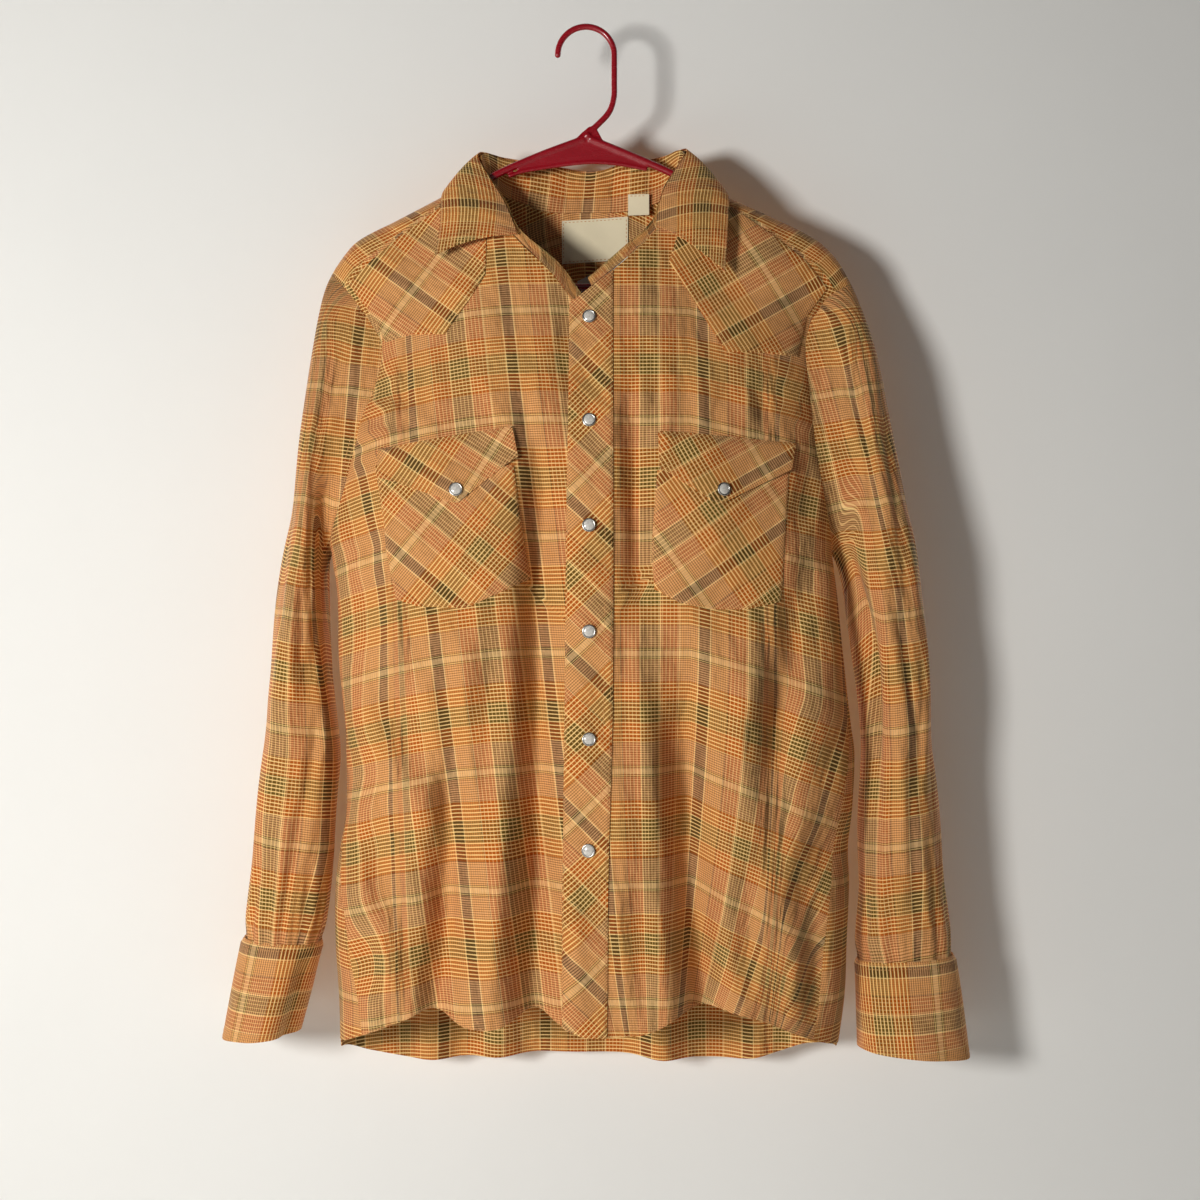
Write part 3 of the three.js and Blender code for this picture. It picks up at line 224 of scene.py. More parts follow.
# The hanger, in its own plane
ARM_LEFT = (
    (-2.5, -93), (-40, -107), (-75, -122.4), (-95, -134.8), (-117, -146.6), (-162, -169.6),
    (-188, -184), (-197.5, -193.5), (-200, -204), (-195, -213.5), (-186, -218.5),
)
ARM_RIGHT = (
    (4.2, -93), (40, -107.5), (75, -123), (95, -135.4), (116, -147.8), (153.5, -164.8),
    (190, -182.5), (203, -193), (207.5, -204), (203, -214), (194, -218.5),
)
BAR_Z = -218.5
WEB_LOWER_EDGE = ((-66, -124.5), (-50, -119.5), (-3.4, -113), (25.5, -113.8), (52, -118.6))

# ---------------------------------------------------------------- folds and creases

# Deep folds, the same as the solids': where the line starts and ends, half width, depth, fade
FRONT_FOLDS = (
    (-34, -300, -42, -900, 15.5, 32, 170), (-96, -500, -128, -900, 15, 28, 220),
    (37, -280, 45, -520, 10, 15, 90), (66, -470, 104, -900, 18, 35, 200),
    (-168, -600, -150, -800, 16, 9, 100), (176, -400, 150, -720, 14, 9, 110),
)
BACK_FOLDS = (
    (-58, -330, -76, -900, 20, 22, 240), (44, -330, 66, -900, 19, 24, 260),
    (-138, -420, -132, -900, 16, 13, 180), (134, -440, 146, -900, 17, 15, 200),
)
# Creases: start x, z, end x, z, half width, depth (a ridge where it is negative)
FRONT_CREASES = (
    (-150, -262, -150, -352, 5, 3.2), (-126, -276, -118, -340, 7, -2.2),
    (-196, -300, -120, -330, 7, 2.6), (-198, -345, -128, -352, 6, -2.4),
    (-201, -395, -168, -470, 8, 3.4), (-206, -430, -150, -560, 11, 4.5),
    (-212, -470, -120, -640, 13, 5), (-208, -560, -104, -690, 12, -3.6),
    (-205, -640, -130, -790, 12, 4.2), (-196, -720, -150, -850, 9, 4),
    (-180, -560, -196, -800, 10, -3.5), (-95, -500, -100, -610, 9, -3),
    (-70, -495, -88, -700, 10, 3.6), (-64, -640, -78, -835, 11, -5),
    (-110, -700, -100, -830, 10, 3), (-150, -740, -176, -850, 9, -4),
    (-52, -290, -46, -372, 6, 2.6), (-78, -300, -70, -345, 7, -1.6),
    (-30, -420, -30, -640, 9, -3.2), (-26, -690, -20, -830, 8, 3),
    (60, -290, 50, -380, 7, 2.8), (98, -296, 92, -350, 7, -1.8),
    (140, -300, 150, -352, 6, 2.4), (188, -310, 130, -336, 7, 2.6),
    (190, -360, 172, -440, 8, 3.6), (200, -420, 160, -540, 10, 4.4),
    (208, -470, 130, -620, 12, 4.6), (214, -540, 140, -680, 12, -3.4),
    (218, -620, 150, -790, 12, 4.4), (120, -500, 138, -700, 12, -4),
    (84, -500, 92, -700, 9, 3.4), (150, -500, 160, -640, 9, 3),
    (128, -690, 138, -835, 11, 4.6), (160, -700, 176, -850, 10, -4.4),
    (190, -700, 186, -860, 9, 4), (50, -560, 60, -700, 9, -3),
    (40, -690, 52, -840, 9, 3.8), (30, -470, 32, -620, 6, 1.6),
)
BACK_CREASES = (
    (-186, -330, -90, -350, 9, 3), (-196, -420, -100, -520, 12, 4.6),
    (-205, -480, -120, -660, 13, 5), (-200, -600, -96, -760, 12, -4),
    (-180, -700, -160, -870, 10, 4), (-20, -340, -12, -520, 10, 3),
    (8, -345, 4, -640, 12, 3.6), (-10, -600, -26, -880, 12, -4),
    (20, -620, 26, -880, 10, 4.2), (100, -330, 92, -560, 10, -3.2),
    (186, -330, 100, -352, 9, 3), (198, -420, 104, -530, 12, 4.6),
    (210, -490, 128, -660, 12, 5), (205, -610, 104, -770, 12, -4),
    (190, -700, 172, -870, 10, 4), (-100, -560, -104, -870, 10, 3.6),
    (98, -600, 108, -870, 10, 3.4),
)
# Folds of the sleeves: rows where one starts and ends, degrees round the ring, half width, depth
SLEEVE_FOLDS_LEFT = (
    (3.4, 9.2, 78, 52, 20, -5), (4.6, 10, 122, 104, 19, 6), (1.2, 7.5, 250, 232, 22, 6),
)
SLEEVE_FOLDS_RIGHT = (
    (0.1, 9.8, 156, 142, 24, 21), (3.6, 9.6, 62, 78, 21, 5), (1.4, 8, 290, 306, 22, 6),
)
SLEEVE_CREASES_LEFT = (
    (0.3, 2.6, 60, 100, 9, 2), (0.6, 3.4, 118, 142, 8, 2.4), (2.2, 5.6, 100, 128, 8, 1.8),
    (3.0, 6.6, 150, 120, 9, 2.2), (4.4, 7.4, 40, 88, 8, 1.8), (5.2, 8.6, 92, 70, 7, -1.4),
    (6.4, 9.6, 140, 96, 8, 2), (7.4, 10.4, 60, 76, 7, 1.8), (8.4, 10.6, 100, 92, 6, 1.6),
    (8.8, 11, 44, 40, 6, 1.4), (8.9, 11, 128, 124, 6, 1.5), (0.5, 3.6, 250, 216, 9, 2.2),
    (2.4, 6, 300, 262, 9, 2.2), (4.6, 8.2, 214, 250, 9, 2), (6.8, 10, 286, 270, 8, 2),
    (8.8, 11, 232, 236, 6, 1.6), (8.8, 11, 312, 308, 6, 1.5),
)
SLEEVE_CREASES_RIGHT = (
    (0.3, 2.8, 52, 92, 9, 2), (0.8, 3.8, 108, 80, 8, 2.2), (2.0, 5.2, 40, 66, 8, 1.8),
    (3.2, 6.4, 100, 132, 9, 2), (4.6, 8, 96, 60, 8, 2), (5.6, 9, 30, 52, 7, -1.6),
    (6.8, 10, 120, 98, 8, 2), (7.8, 10.6, 76, 84, 7, 1.8), (8.6, 11, 52, 48, 6, 1.6),
    (8.9, 11, 112, 108, 6, 1.6), (0.5, 3.4, 240, 280, 9, 2.2), (2.6, 6.2, 310, 282, 9, 2),
    (4.8, 8.4, 224, 252, 9, 2), (6.6, 9.8, 300, 318, 8, 2), (8.8, 11, 244, 240, 6, 1.6),
)
# The slow unevenness of hanging cloth: waves across and down, turn, size
RIPPLES = ((0.051, 0.013, 0.4, 0.55), (0.083, -0.021, 1.9, 0.4), (0.031, 0.047, 3.1, 0.45), (0.12, 0.034, 0.9, 0.22))

UNDERARM_Z = -445
ARMHOLE_RISE = 70
ARMHOLE_TURN = math.radians(16)
SIDE_SQUARENESS = 3.5
SHOULDER_ROUND = 12
SHOULDER_FALL = 300
NECK_HALF_WIDTH = 88
BACK_NECK_RUN = 64
SHOULDER_TIP = 204
SEAM_DROP_NECK, SEAM_DROP_TIP = 10, 36
UNDERLAP_DEPTH, UNDERLAP_EASE, UNDERLAP_WIDTH = 4.5, 16, 24
STAND_SEAM_RISE = 2.2


def smooth(t):
    t = np.clip(t, 0, 1)
    return t * t * (3 - 2 * t)


def mix(a, b, t):
    return a + (b - a) * t


def bell(x):
    return np.exp(-np.minimum(x * x, 60))


def crease_depth(creases, x, z):
    """How far creases press the cloth in at x, z: each is a valley with a low ridge on either side."""
    total = 0
    for x0, z0, x1, z1, width, depth in creases:
        length = math.hypot(x1 - x0, z1 - z0)
        across, down = (x1 - x0) / length, (z1 - z0) / length
        run = ((x - x0) * across + (z - z0) * down) / length
        off = np.abs((x - x0) * down - (z - z0) * across) / width
        ends = smooth(run * 2.6) * smooth((1 - run) * 2.6)
        total = total + depth * ends * (bell(off) - 0.5 * bell((off - 1.9) / 0.9))
    return total


def ripple(x, z, turn=0):
    return 2.0 * sum(size * np.sin(a * x + b * z + phase + turn) for a, b, phase, size in RIPPLES)


def fold_depth(side, x, z):
    total = 0
    for top_x, top_z, bottom_x, bottom_z, width, depth, fade in FRONT_FOLDS if side < 0 else BACK_FOLDS:
        line = mix(top_x, bottom_x, (z - top_z) / (bottom_z - top_z))
        start = smooth((top_z - z) / fade)
        end = 1 if bottom_z < -880 else 1 - smooth((bottom_z - z) / fade + 1)
        total = total + depth * start * end * bell((x - line) / width)
    creases = FRONT_CREASES if side < 0 else BACK_CREASES
    return total + 1.35 * crease_depth(creases, x, z) + ripple(x, z, side)


# ---------------------------------------------------------------- the body's surface


def ridge(x):
    return SHOULDER.read(x, "z")


def armhole_angle(z):
    """The armhole seam's turn from the front's middle, a right angle at the underarm and below."""
    rise = np.clip((z - UNDERARM_Z) / ARMHOLE_RISE, 0, 1)
    return np.pi / 2 - ARMHOLE_TURN * np.sqrt(1 - (1 - rise) ** 2)


def section(z):
    left, right = OUTLINE.read(z, "left"), OUTLINE.read(z, "right")
    return (left + right) / 2, (right - left) / 2 / np.sin(armhole_angle(z))


def stand_off(x, z, drop, side, across):
    """How far the cloth stands from the middle sheet on one side."""
    full = FULLNESS.read(z, "front" if side < 0 else "back")
    edge = np.sqrt(np.maximum(0, 1 - np.minimum(np.abs(across), 1) ** SIDE_SQUARENESS))
    cap = SHOULDER_ROUND * np.sqrt(1 - (1 - np.minimum(drop / SHOULDER_ROUND, 1)) ** 2)
    fill = 1 - (1 - np.clip(drop / SHOULDER_FALL, 0, 1)) ** 2
    loose = smooth(drop / 40)
    return (cap + (full - SHOULDER_ROUND) * fill - fold_depth(side, x, z) * loose) * edge


def body_point(angle, z):
    """A point by its turn from the front's middle, and its height."""
    angle, z = np.broadcast_arrays(np.asarray(angle, float), np.asarray(z, float))
    centre, half = section(z)
    across = np.sin(angle)
    x = centre + half * across
    drop = np.maximum(0, ridge(x) - z)
    front = stand_off(x, z, drop, -1, across)
    back = stand_off(x, z, drop, 1, across)
    y = FULLNESS.read(z, "middle") + np.where(np.cos(angle) >= 0, -front, back)
    return np.stack([x, y, z], -1)


def angle_at(x, z, side=-1):
    centre, half = section(z)
    angle = np.arcsin(np.clip((x - centre) / half, -1, 1))
    return angle if side < 0 else np.pi - angle


def front_point(x, z):
    return body_point(angle_at(x, z), z)


def front_normal(x, z):
    """The outward direction of the front at x, z."""
    step = 1.0
    across = front_point(x + step, z) - front_point(x - step, z)
    up = front_point(x, z + step) - front_point(x, z - step)
    return unit(np.cross(across, up))


def drop_of(run):
    length, quarter = np.abs(run), SHOULDER_ROUND * np.pi / 2
    bent = SHOULDER_ROUND * (1 - np.cos(np.minimum(length, quarter) / SHOULDER_ROUND))
    return np.where(length > quarter, SHOULDER_ROUND + length - quarter, bent)


def run_of(drop):
    bent = SHOULDER_ROUND * np.arccos(np.clip(1 - drop / SHOULDER_ROUND, -1, 1))
    return np.where(drop > SHOULDER_ROUND, SHOULDER_ROUND * (np.pi / 2 - 1) + drop, bent)


def shoulder_point(x, run):
    """A point by its place across and its run over the shoulder: below 0 in front, above 0 behind."""
    x, run = np.broadcast_arrays(np.asarray(x, float), np.asarray(run, float))
    drop = drop_of(run)
    z = ridge(x) - drop
    centre, half = section(z)
    across = (x - centre) / half
    front, back = stand_off(x, z, drop, -1, across), stand_off(x, z, drop, 1, across)
    y = FULLNESS.read(z, "middle") + np.where(run < 0, -front, back)
    return np.stack([x, y, z], -1)


def shoulder_seam_run(x):
    share = np.clip((np.abs(x) - NECK_HALF_WIDTH) / (SHOULDER_TIP - NECK_HALF_WIDTH), 0, 1.1)
    return -(SEAM_DROP_NECK + (SEAM_DROP_TIP - SEAM_DROP_NECK) * share**1.5)


def front_top(neckline):
    def line(x, angle=None):
        seam = ridge(x) - drop_of(shoulder_seam_run(x))
        return np.where(np.abs(x) >= NECK_HALF_WIDTH, seam, neckline.read(x, "z"))

    return line


def front_hem(x, angle=None):
    return FRONT_HEM.read(x, "z")


def side_angle(z, hand):
    seam = np.radians(SIDE_SEAM.read(z, hand))
    return np.where(z > UNDERARM_Z, armhole_angle(z), seam)


def placket_left(z):
    return PLACKET.read(z, "left")


def placket_right(z):
    return PLACKET.read(z, "right")


# ---------------------------------------------------------------- grids of cloth


def unit(v):
    return v / np.maximum(np.linalg.norm(v, axis=-1, keepdims=True), 1e-9)


def grid_normals(points, closed):
    """Directions square to a grid of points, closed round its columns where it is a tube."""
    if closed:
        across = np.roll(points, -1, 1) - np.roll(points, 1, 1)
    else:
        across = np.gradient(points, axis=1)
    return unit(np.cross(across, -np.gradient(points, axis=0)))


def arc_across(points, start=0):
    """The length along each row, from the column start."""
    steps = np.linalg.norm(np.diff(points, axis=1), axis=-1)
    arc = np.concatenate([np.zeros((len(points), 1)), np.cumsum(steps, 1)], 1)
    return arc - arc[:, start : start + 1]


def body_panel(start, end, top, bottom, columns, rows, crowding=1.2):
    """A panel of the body between two edges given as turns and two given as heights across."""
    s = np.linspace(0, 1, columns)

    def turn(z):
        return mix(start(z), end(z), s)

    def edge(line):
        z = np.full(columns, -400.0)
        for _ in range(60):
            z = mix(z, line(body_point(turn(z), z)[:, 0], turn(z)), 0.3)
        return z

    highest, lowest = edge(top), edge(bottom)
    v = np.linspace(0, 1, rows)[:, None] ** crowding
    z = mix(highest, lowest, v)
    return body_point(mix(start(z), end(z), s), z)


def along(points, share):
    """Points on a polyline at shares of its length."""
    points = np.array(points, float)
    steps = np.linalg.norm(np.diff(points, axis=0), axis=1)
    arc = np.concatenate([[0], np.cumsum(steps)]) / steps.sum()
    return np.stack([np.interp(share, arc, points[:, k]) for k in range(points.shape[1])], -1)


def patch_plan(edges, columns, rows):
    """The x, z of a grid inside four edge lines."""
    top, bottom, left, right = edges
    u, v = np.linspace(0, 1, columns)[None, :, None], np.linspace(0, 1, rows)[:, None, None]
    sides = mix(along(left, v[:, 0, 0])[:, None], along(right, v[:, 0, 0])[:, None], u)
    ends = mix(along(top, u[0, :, 0])[None], along(bottom, u[0, :, 0])[None], v)
    corners = mix(
        mix(np.array(top[0], float), np.array(top[-1], float), u),
        mix(np.array(bottom[0], float), np.array(bottom[-1], float), u),
        v,
    )
    plan = sides + ends - corners
    return plan[..., 0], plan[..., 1]

# ---------------------------------------------------------------- the plaid and other finishes


class Value:
    """A shader socket with a number in it, so that maths on it reads as plain Python."""

    def __init__(self, paint, socket):
        self.paint, self.socket = paint, socket

    def _with(self, operation, *others):
        node = self.paint.node("Math", {"operation": operation}, self, *others)
        return node.out()

    def __add__(self, other):
        return self._with("ADD", other)

    __radd__ = __add__

    def __mul__(self, other):
        return self._with("MULTIPLY", other)

    __rmul__ = __mul__

    def __sub__(self, other):
        return self._with("SUBTRACT", other)

    def __rsub__(self, other):
        return self.paint.node("Math", {"operation": "SUBTRACT"}, other, self).out()

    def __truediv__(self, other):
        return self._with("DIVIDE", other)

    def __gt__(self, other):
        return self._with("GREATER_THAN", other)

    def __lt__(self, other):
        return self._with("LESS_THAN", other)

    def fraction(self):
        return self._with("FRACT")

    def size(self):
        return self._with("ABSOLUTE")

    def sine(self):
        return self._with("SINE")

    def clamped(self):
        node = self.paint.node("Math", {"operation": "ADD", "use_clamp": True}, self, 0.0)
        return node.out()

    def within(self, low, high):
        """1 between two numbers, 0 outside them."""
        return (self > low) * (self < high)


class Made:
    """A shader node that was just made, with its sockets filled."""

    def __init__(self, paint, node):
        self.paint, self.node = paint, node

    def out(self, name=0):
        return Value(self.paint, self.node.outputs[name])


class Paint:
    """A material with one Principled shader, and the one method that adds any other node."""

    def __init__(self, name, **constants):
        self.material = bpy.data.materials.new(name)
        self.material.use_nodes = True
        self.tree = self.material.node_tree
        self.tree.nodes.clear()
        self.shader = self.node("BsdfPrincipled", {}, **constants)
        self.output = self.node("OutputMaterial", {}, Surface=self.shader.out())

    def node(self, kind, settings, *values, **named):
        node = self.tree.nodes.new(kind if kind.startswith("Node") else "ShaderNode" + kind)
        for key, value in settings.items():
            if key == "stops":
                ramp = node.color_ramp
                while len(ramp.elements) > 1:
                    ramp.elements.remove(ramp.elements[0])
                for i, (place, colour) in enumerate(value):
                    element = ramp.elements[0] if i == 0 else ramp.elements.new(place)
                    element.position, element.color = place, (*colour, 1)
            elif key == "interpolation" and kind == "ValToRGB":
                node.color_ramp.interpolation = value
            else:
                setattr(node, key, value)
        sockets = [(node.inputs[i], value) for i, value in enumerate(values)]
        sockets += [(node.inputs[key.replace("_", " ")], value) for key, value in named.items()]
        for socket, value in sockets:
            self.fill(socket, value)
        return Made(self, node)

    def fill(self, socket, value):
        if isinstance(value, Value):
            self.tree.links.new(value.socket, socket)
        elif socket.type == "RGBA" and len(value) == 3:
            socket.default_value = (*value, 1)
        else:
            socket.default_value = value

    def set(self, name, value):
        self.fill(self.shader.node.inputs[name], value)

    def mix(self, a, b, share, blend="MIX"):
        """Colours a and b mixed."""
        node = self.node("Mix", {"data_type": "RGBA", "blend_type": blend})
        for name, value in (("Factor_Float", share), ("A_Color", a), ("B_Color", b)):
            self.fill(next(s for s in node.node.inputs if s.identifier == name), value)
        return Value(self, next(s for s in node.node.outputs if s.identifier == "Result_Color"))

    def place(self, attribute=None):
        """The object's own coordinates, or a UV map's, as three values."""
        if attribute:
            source = self.node("UVMap", {"uv_map": attribute}).out("UV")
        else:
            source = self.node("TexCoord", {}).out("Object")
        split = self.node("SeparateXYZ", {}, source)
        return source, split.out("X"), split.out("Y"), split.out("Z")

    def noise(self, vector, scale, detail=2.0, roughness=0.5, stretch=None):
        if stretch:
            vector = self.node("Mapping", {}, Vector=vector, Scale=stretch).out()
        return self.node(
            "TexNoise", {}, Vector=vector, Scale=scale, Detail=detail, Roughness=roughness
        ).out("Fac")

    def bump(self, height, distance, strength=1.0, under=None):
        named = {"Height": height, "Distance": distance, "Strength": strength}
        if under is not None:
            named["Normal"] = under
        return self.node("Bump", {}, **named).out()


def linear(*srgb):
    """A display colour, 0 to 255, as the linear light that shaders take."""
    shares = [c / 255 for c in srgb]
    return tuple(c / 12.92 if c <= 0.04045 else ((c + 0.055) / 1.055) ** 2.4 for c in shares)


# The yarns, and the order in which they lie: each stripe's width in millimetres and its yarn
YARNS = {
    "rust": linear(174, 80, 4),
    "olive": linear(98, 70, 10),
    "tan": linear(214, 146, 74),
    "cream": linear(255, 214, 140),
    "ecru": linear(240, 196, 138),
    "brown": linear(66, 42, 12),
    "dark": linear(44, 24, 8),
    "pink": linear(242, 182, 126),
    "brick": linear(92, 44, 12),
}
WARP_SETT = (
    (3.5, "brown"), (0.8, "dark"), (1.0, "cream"), (14.3, "tan"), (0.7, "dark"),
    (15.0, "rust"), (1.1, "cream"), (15.2, "olive"), (1.1, "cream"), (15.0, "rust"),
    (0.7, "cream"), (14.3, "tan"), (1.0, "cream"), (0.8, "dark"), (3.5, "brown"),
)
WEFT_SETT = (
    (2.4, "ecru"), (0.8, "dark"), (0.7, "cream"), (0.8, "dark"), (18.6, "pink"),
    (15.5, "rust"), (17.6, "olive"), (15.5, "rust"), (18.6, "pink"), (0.8, "dark"),
    (0.7, "cream"), (0.8, "dark"), (2.4, "ecru"),
)
CHECK_PITCH = 3.1
CHECK_SHARE = {"warp": 0.2, "weft": 0.3}
FINE_PITCH = 1.9


def sett_length(sett):
    return sum(width for width, yarn in sett)


def sett_stops(sett):
    total, at, stops = sett_length(sett), 0.0, []
    for width, yarn in sett:
        stops.append((at / total, YARNS[yarn]))
        at += width
    return stops


def zones(sett, yarns):
    """Where stripes of these yarns lie, as shares of the sett."""
    total, at, found = sett_length(sett), 0.0, []
    for width, yarn in sett:
        if yarn in yarns:
            found.append((at / total, (at + width) / total))
        at += width
    return found


def plaid_material():
    """Yarn-dyed plaid. Its map is the flat cut in metres: across with the warp's stripes, down with the weft's."""
    paint = Paint("plaid_cotton", Roughness=0.86, Sheen_Weight=0.05, Sheen_Roughness=0.5)
    paint.set("Specular IOR Level", 0.22)
    source, across, down, _ = paint.place("cut")
    wander = paint.noise(source, 38.0, 2.0) - 0.5
    u, v = across / MM + wander * 0.7, down / MM + wander * 0.7
    warp_share = (u / sett_length(WARP_SETT)).fraction()
    weft_share = (v / sett_length(WEFT_SETT)).fraction()
    ramps = []
    for share, sett in ((warp_share, WARP_SETT), (weft_share, WEFT_SETT)):
        settings = {"stops": sett_stops(sett), "interpolation": "CONSTANT"}
        ramps.append(paint.node("ValToRGB", settings, share).out())

    def lines(at, pitch, share_of_pitch, share, where):
        mask = 0.0
        for low, high in where:
            mask = share.within(low, high) + mask
        return ((at / pitch).fraction() < share_of_pitch) * mask

    checks_across = lines(u, CHECK_PITCH, CHECK_SHARE["warp"], warp_share, zones(WARP_SETT, ("rust", "olive")))
    checks_down = lines(v, CHECK_PITCH, CHECK_SHARE["weft"], weft_share, zones(WEFT_SETT, ("rust", "olive")))
    fine_down = lines(v, FINE_PITCH, 0.42, weft_share, zones(WEFT_SETT, ("pink",)))
    fine_across = lines(u, FINE_PITCH, 0.34, warp_share, zones(WARP_SETT, ("tan",)))
    warp = paint.mix(ramps[0], YARNS["cream"], checks_across * 0.5)
    warp = paint.mix(warp, YARNS["brick"], fine_across * 0.6)
    weft = paint.mix(ramps[1], YARNS["cream"], checks_down)
    weft = paint.mix(weft, YARNS["brick"], fine_down * 0.85)
    slub_down = paint.noise(source, 900.0, 2.0, 0.6, stretch=(1.0, 0.06, 1.0))
    slub_across = paint.noise(source, 900.0, 2.0, 0.6, stretch=(0.06, 1.0, 1.0))
    cloth = paint.mix(warp, weft, (slub_down - slub_across) * 0.6 + 0.5)
    cloth = paint.mix(cloth, YARNS["cream"], (checks_down * 0.55 + checks_across * 0.22).clamped())
    wash = paint.noise(source, 9.0, 3.0)
    cloth = paint.mix(cloth, (0.55, 0.30, 0.11), (wash - 0.35).clamped() * 0.14)
    thread = ((u * (math.tau / 0.62)).sine() * (v * (math.tau / 0.62)).sine()) * 0.5 + 0.5
    weave = thread * 0.6 + (slub_down + slub_across) * 0.5
    cloth = paint.mix(cloth, (0.16, 0.07, 0.02), (1 - weave.clamped()) * 0.2)
    seersucker = paint.noise(source, 120.0, 3.0, 0.55)
    rumple = paint.noise(source, 34.0, 3.0, 0.5, stretch=(1.0, 0.4, 1.0))
    normal = paint.bump(seersucker, 0.001, 0.6, paint.bump(rumple, 0.012, 0.8))
    paint.set("Base Color", cloth)
    paint.set("Roughness", weave * 0.08 + 0.8)
    paint.set("Normal", paint.bump(weave, 0.00016, 0.6, normal))
    return paint.material


def tape_material(name, colour, line_pitch=0.7):
    """Plain woven tape or thread."""
    paint = Paint(name, Roughness=0.7, Sheen_Weight=0.1)
    source, x, y, z = paint.place()
    rows = ((z * (math.tau / (line_pitch * MM))).sine() * 0.5 + 0.5) * 0.6 + paint.noise(source, 2600.0) * 0.6
    soil = paint.noise(source, 55.0, 4.0, 0.6)
    pale = tuple(c * 0.78 for c in colour)
    paint.set("Base Color", paint.mix(paint.mix(colour, pale, (1 - rows).clamped() * 0.5), pale, soil * 0.5))
    paint.set("Normal", paint.bump(rows, 0.0001, 0.5))
    return paint.material


def pearl_material():
    """The cap of a snap: grey-white pearl with a soft cloud in it."""
    paint = Paint("snap_pearl", Roughness=0.2, IOR=1.55, Coat_Weight=0.7, Coat_Roughness=0.08)
    source, x, y, z = paint.place()
    cloud = paint.noise(source, 420.0, 4.0, 0.65)
    swirl = paint.noise(source, 160.0, 2.0, 0.5)
    grey = paint.mix(linear(150, 150, 148), linear(236, 232, 224), (cloud * 1.7 - 0.35).clamped())
    paint.set("Base Color", paint.mix(grey, linear(206, 196, 186), swirl * 0.5))
    paint.set("Roughness", cloud * 0.15 + 0.12)
    return paint.material


def ring_material():
    """The bright rolled metal ring round a snap, a little worn."""
    paint = Paint("snap_ring", Metallic=1.0, Roughness=0.25)
    source, x, y, z = paint.place()
    wear = paint.noise(source, 700.0, 4.0, 0.7)
    paint.set("Base Color", paint.mix(linear(206, 204, 200), linear(140, 136, 130), (wear * 1.6 - 0.4).clamped()))
    paint.set("Roughness", wear * 0.3 + 0.14)
    return paint.material


def hanger_material():
    """Deep crimson moulded plastic with faint flow marks and rubbed places."""
    paint = Paint("hanger_plastic", IOR=1.49, Coat_Weight=0.35, Coat_Roughness=0.1, Subsurface_Weight=0.04)
    paint.set("Subsurface Radius", (0.003, 0.0004, 0.0004))
    source, x, y, z = paint.place()
    flow = paint.noise(source, 45.0, 3.0, 0.5, stretch=(0.5, 1.0, 1.6))
    scuff = paint.noise(source, 420.0, 4.0, 0.7, stretch=(0.25, 1.0, 1.0))
    paint.set("Base Color", paint.mix(linear(132, 5, 20), linear(156, 10, 28), flow))
    paint.set("Roughness", flow * 0.1 + (scuff * 2.4 - 1.2).clamped() * 0.22 + 0.2)
    paint.set("Normal", paint.bump(flow * 0.7 + scuff * 0.3, 0.0003, 0.25))
    return paint.material

# ---------------------------------------------------------------- making and finishing pieces

MATERIALS = {}


def finish_of(name):
    """A material by its name, made the first time that a piece asks for it."""
    makers = {
        "plaid": plaid_material,
        "tape": lambda: tape_material("label_tape", linear(238, 224, 190)),
        "strip": lambda: tape_material("care_tape", linear(222, 218, 208)),
        "thread": lambda: tape_material("thread", linear(206, 146, 84), 0.3),
        "pearl": pearl_material,
        "ring": ring_material,
        "hanger": hanger_material,
    }
    if name not in MATERIALS:
        MATERIALS[name] = makers[name]()
    return MATERIALS[name]


def deselect():
    for o in bpy.context.selected_objects:
        o.select_set(False)


def only(piece):
    deselect()
    piece.select_set(True)
    bpy.context.view_layer.objects.active = piece


def edit(piece, *steps):
    """Runs edit-mode operators, each with its settings, on all of a piece."""
    only(piece)
    bpy.ops.object.mode_set(mode="EDIT")
    bpy.ops.mesh.select_all(action="SELECT")
    for operator, settings in steps:
        operator(**settings)
    bpy.ops.object.mode_set(mode="OBJECT")


def apply_modifier(piece, kind, **settings):
    only(piece)
    modifier = piece.modifiers.new(kind.title(), kind)
    for key, value in settings.items():
        setattr(modifier, key, value)
    bpy.ops.object.modifier_apply(modifier=modifier.name)


def finish_piece(piece, name, material, nodes=(), sharp=50):
    """Names a piece, smooths it, gives it its finish, and says what it rides on and stands for."""
    piece.name = piece.data.name = name
    only(piece)
    bpy.ops.object.shade_smooth_by_angle(angle=math.radians(sharp))
    piece.data.materials.clear()
    piece.data.materials.append(finish_of(material))
    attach(piece, "root")
    if nodes:
        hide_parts(*nodes)
    return piece


class Cloth:
    """A grid of points in millimetres with its outward directions and its place on the flat cut."""

    def __init__(self, points, cut, outward, closed=False, lift=0.0):
        normals = grid_normals(points, closed)
        if np.sum(normals * outward) < 0:
            normals = -normals
        self.points = points + normals * np.asarray(lift)[..., None]
        self.normals, self.cut, self.closed = normals, cut, closed

    def edge_line(self, edge, inset):
        """A line that runs beside an edge, that far in from it, and the outward directions on it."""
        points, normals = self.points, self.normals
        if edge in ("top", "bottom"):
            points, normals = points.swapaxes(0, 1), normals.swapaxes(0, 1)
        if edge in ("right", "bottom"):
            points, normals = points[:, ::-1], normals[:, ::-1]
        arc = arc_across(points)
        line, facing = [], []
        for i in range(len(points)):
            line.append([np.interp(inset, arc[i], points[i, :, k]) for k in range(3)])
            facing.append([np.interp(inset, arc[i], normals[i, :, k]) for k in range(3)])
        line, facing = np.array(line), unit(np.array(facing))
        if self.closed:
            return line, facing
        steps = np.concatenate([[0], np.cumsum(np.linalg.norm(np.diff(line, axis=0), axis=1))])
        keep = (steps >= inset - 0.5) & (steps <= steps[-1] - inset + 0.5)
        return line[keep], facing[keep]


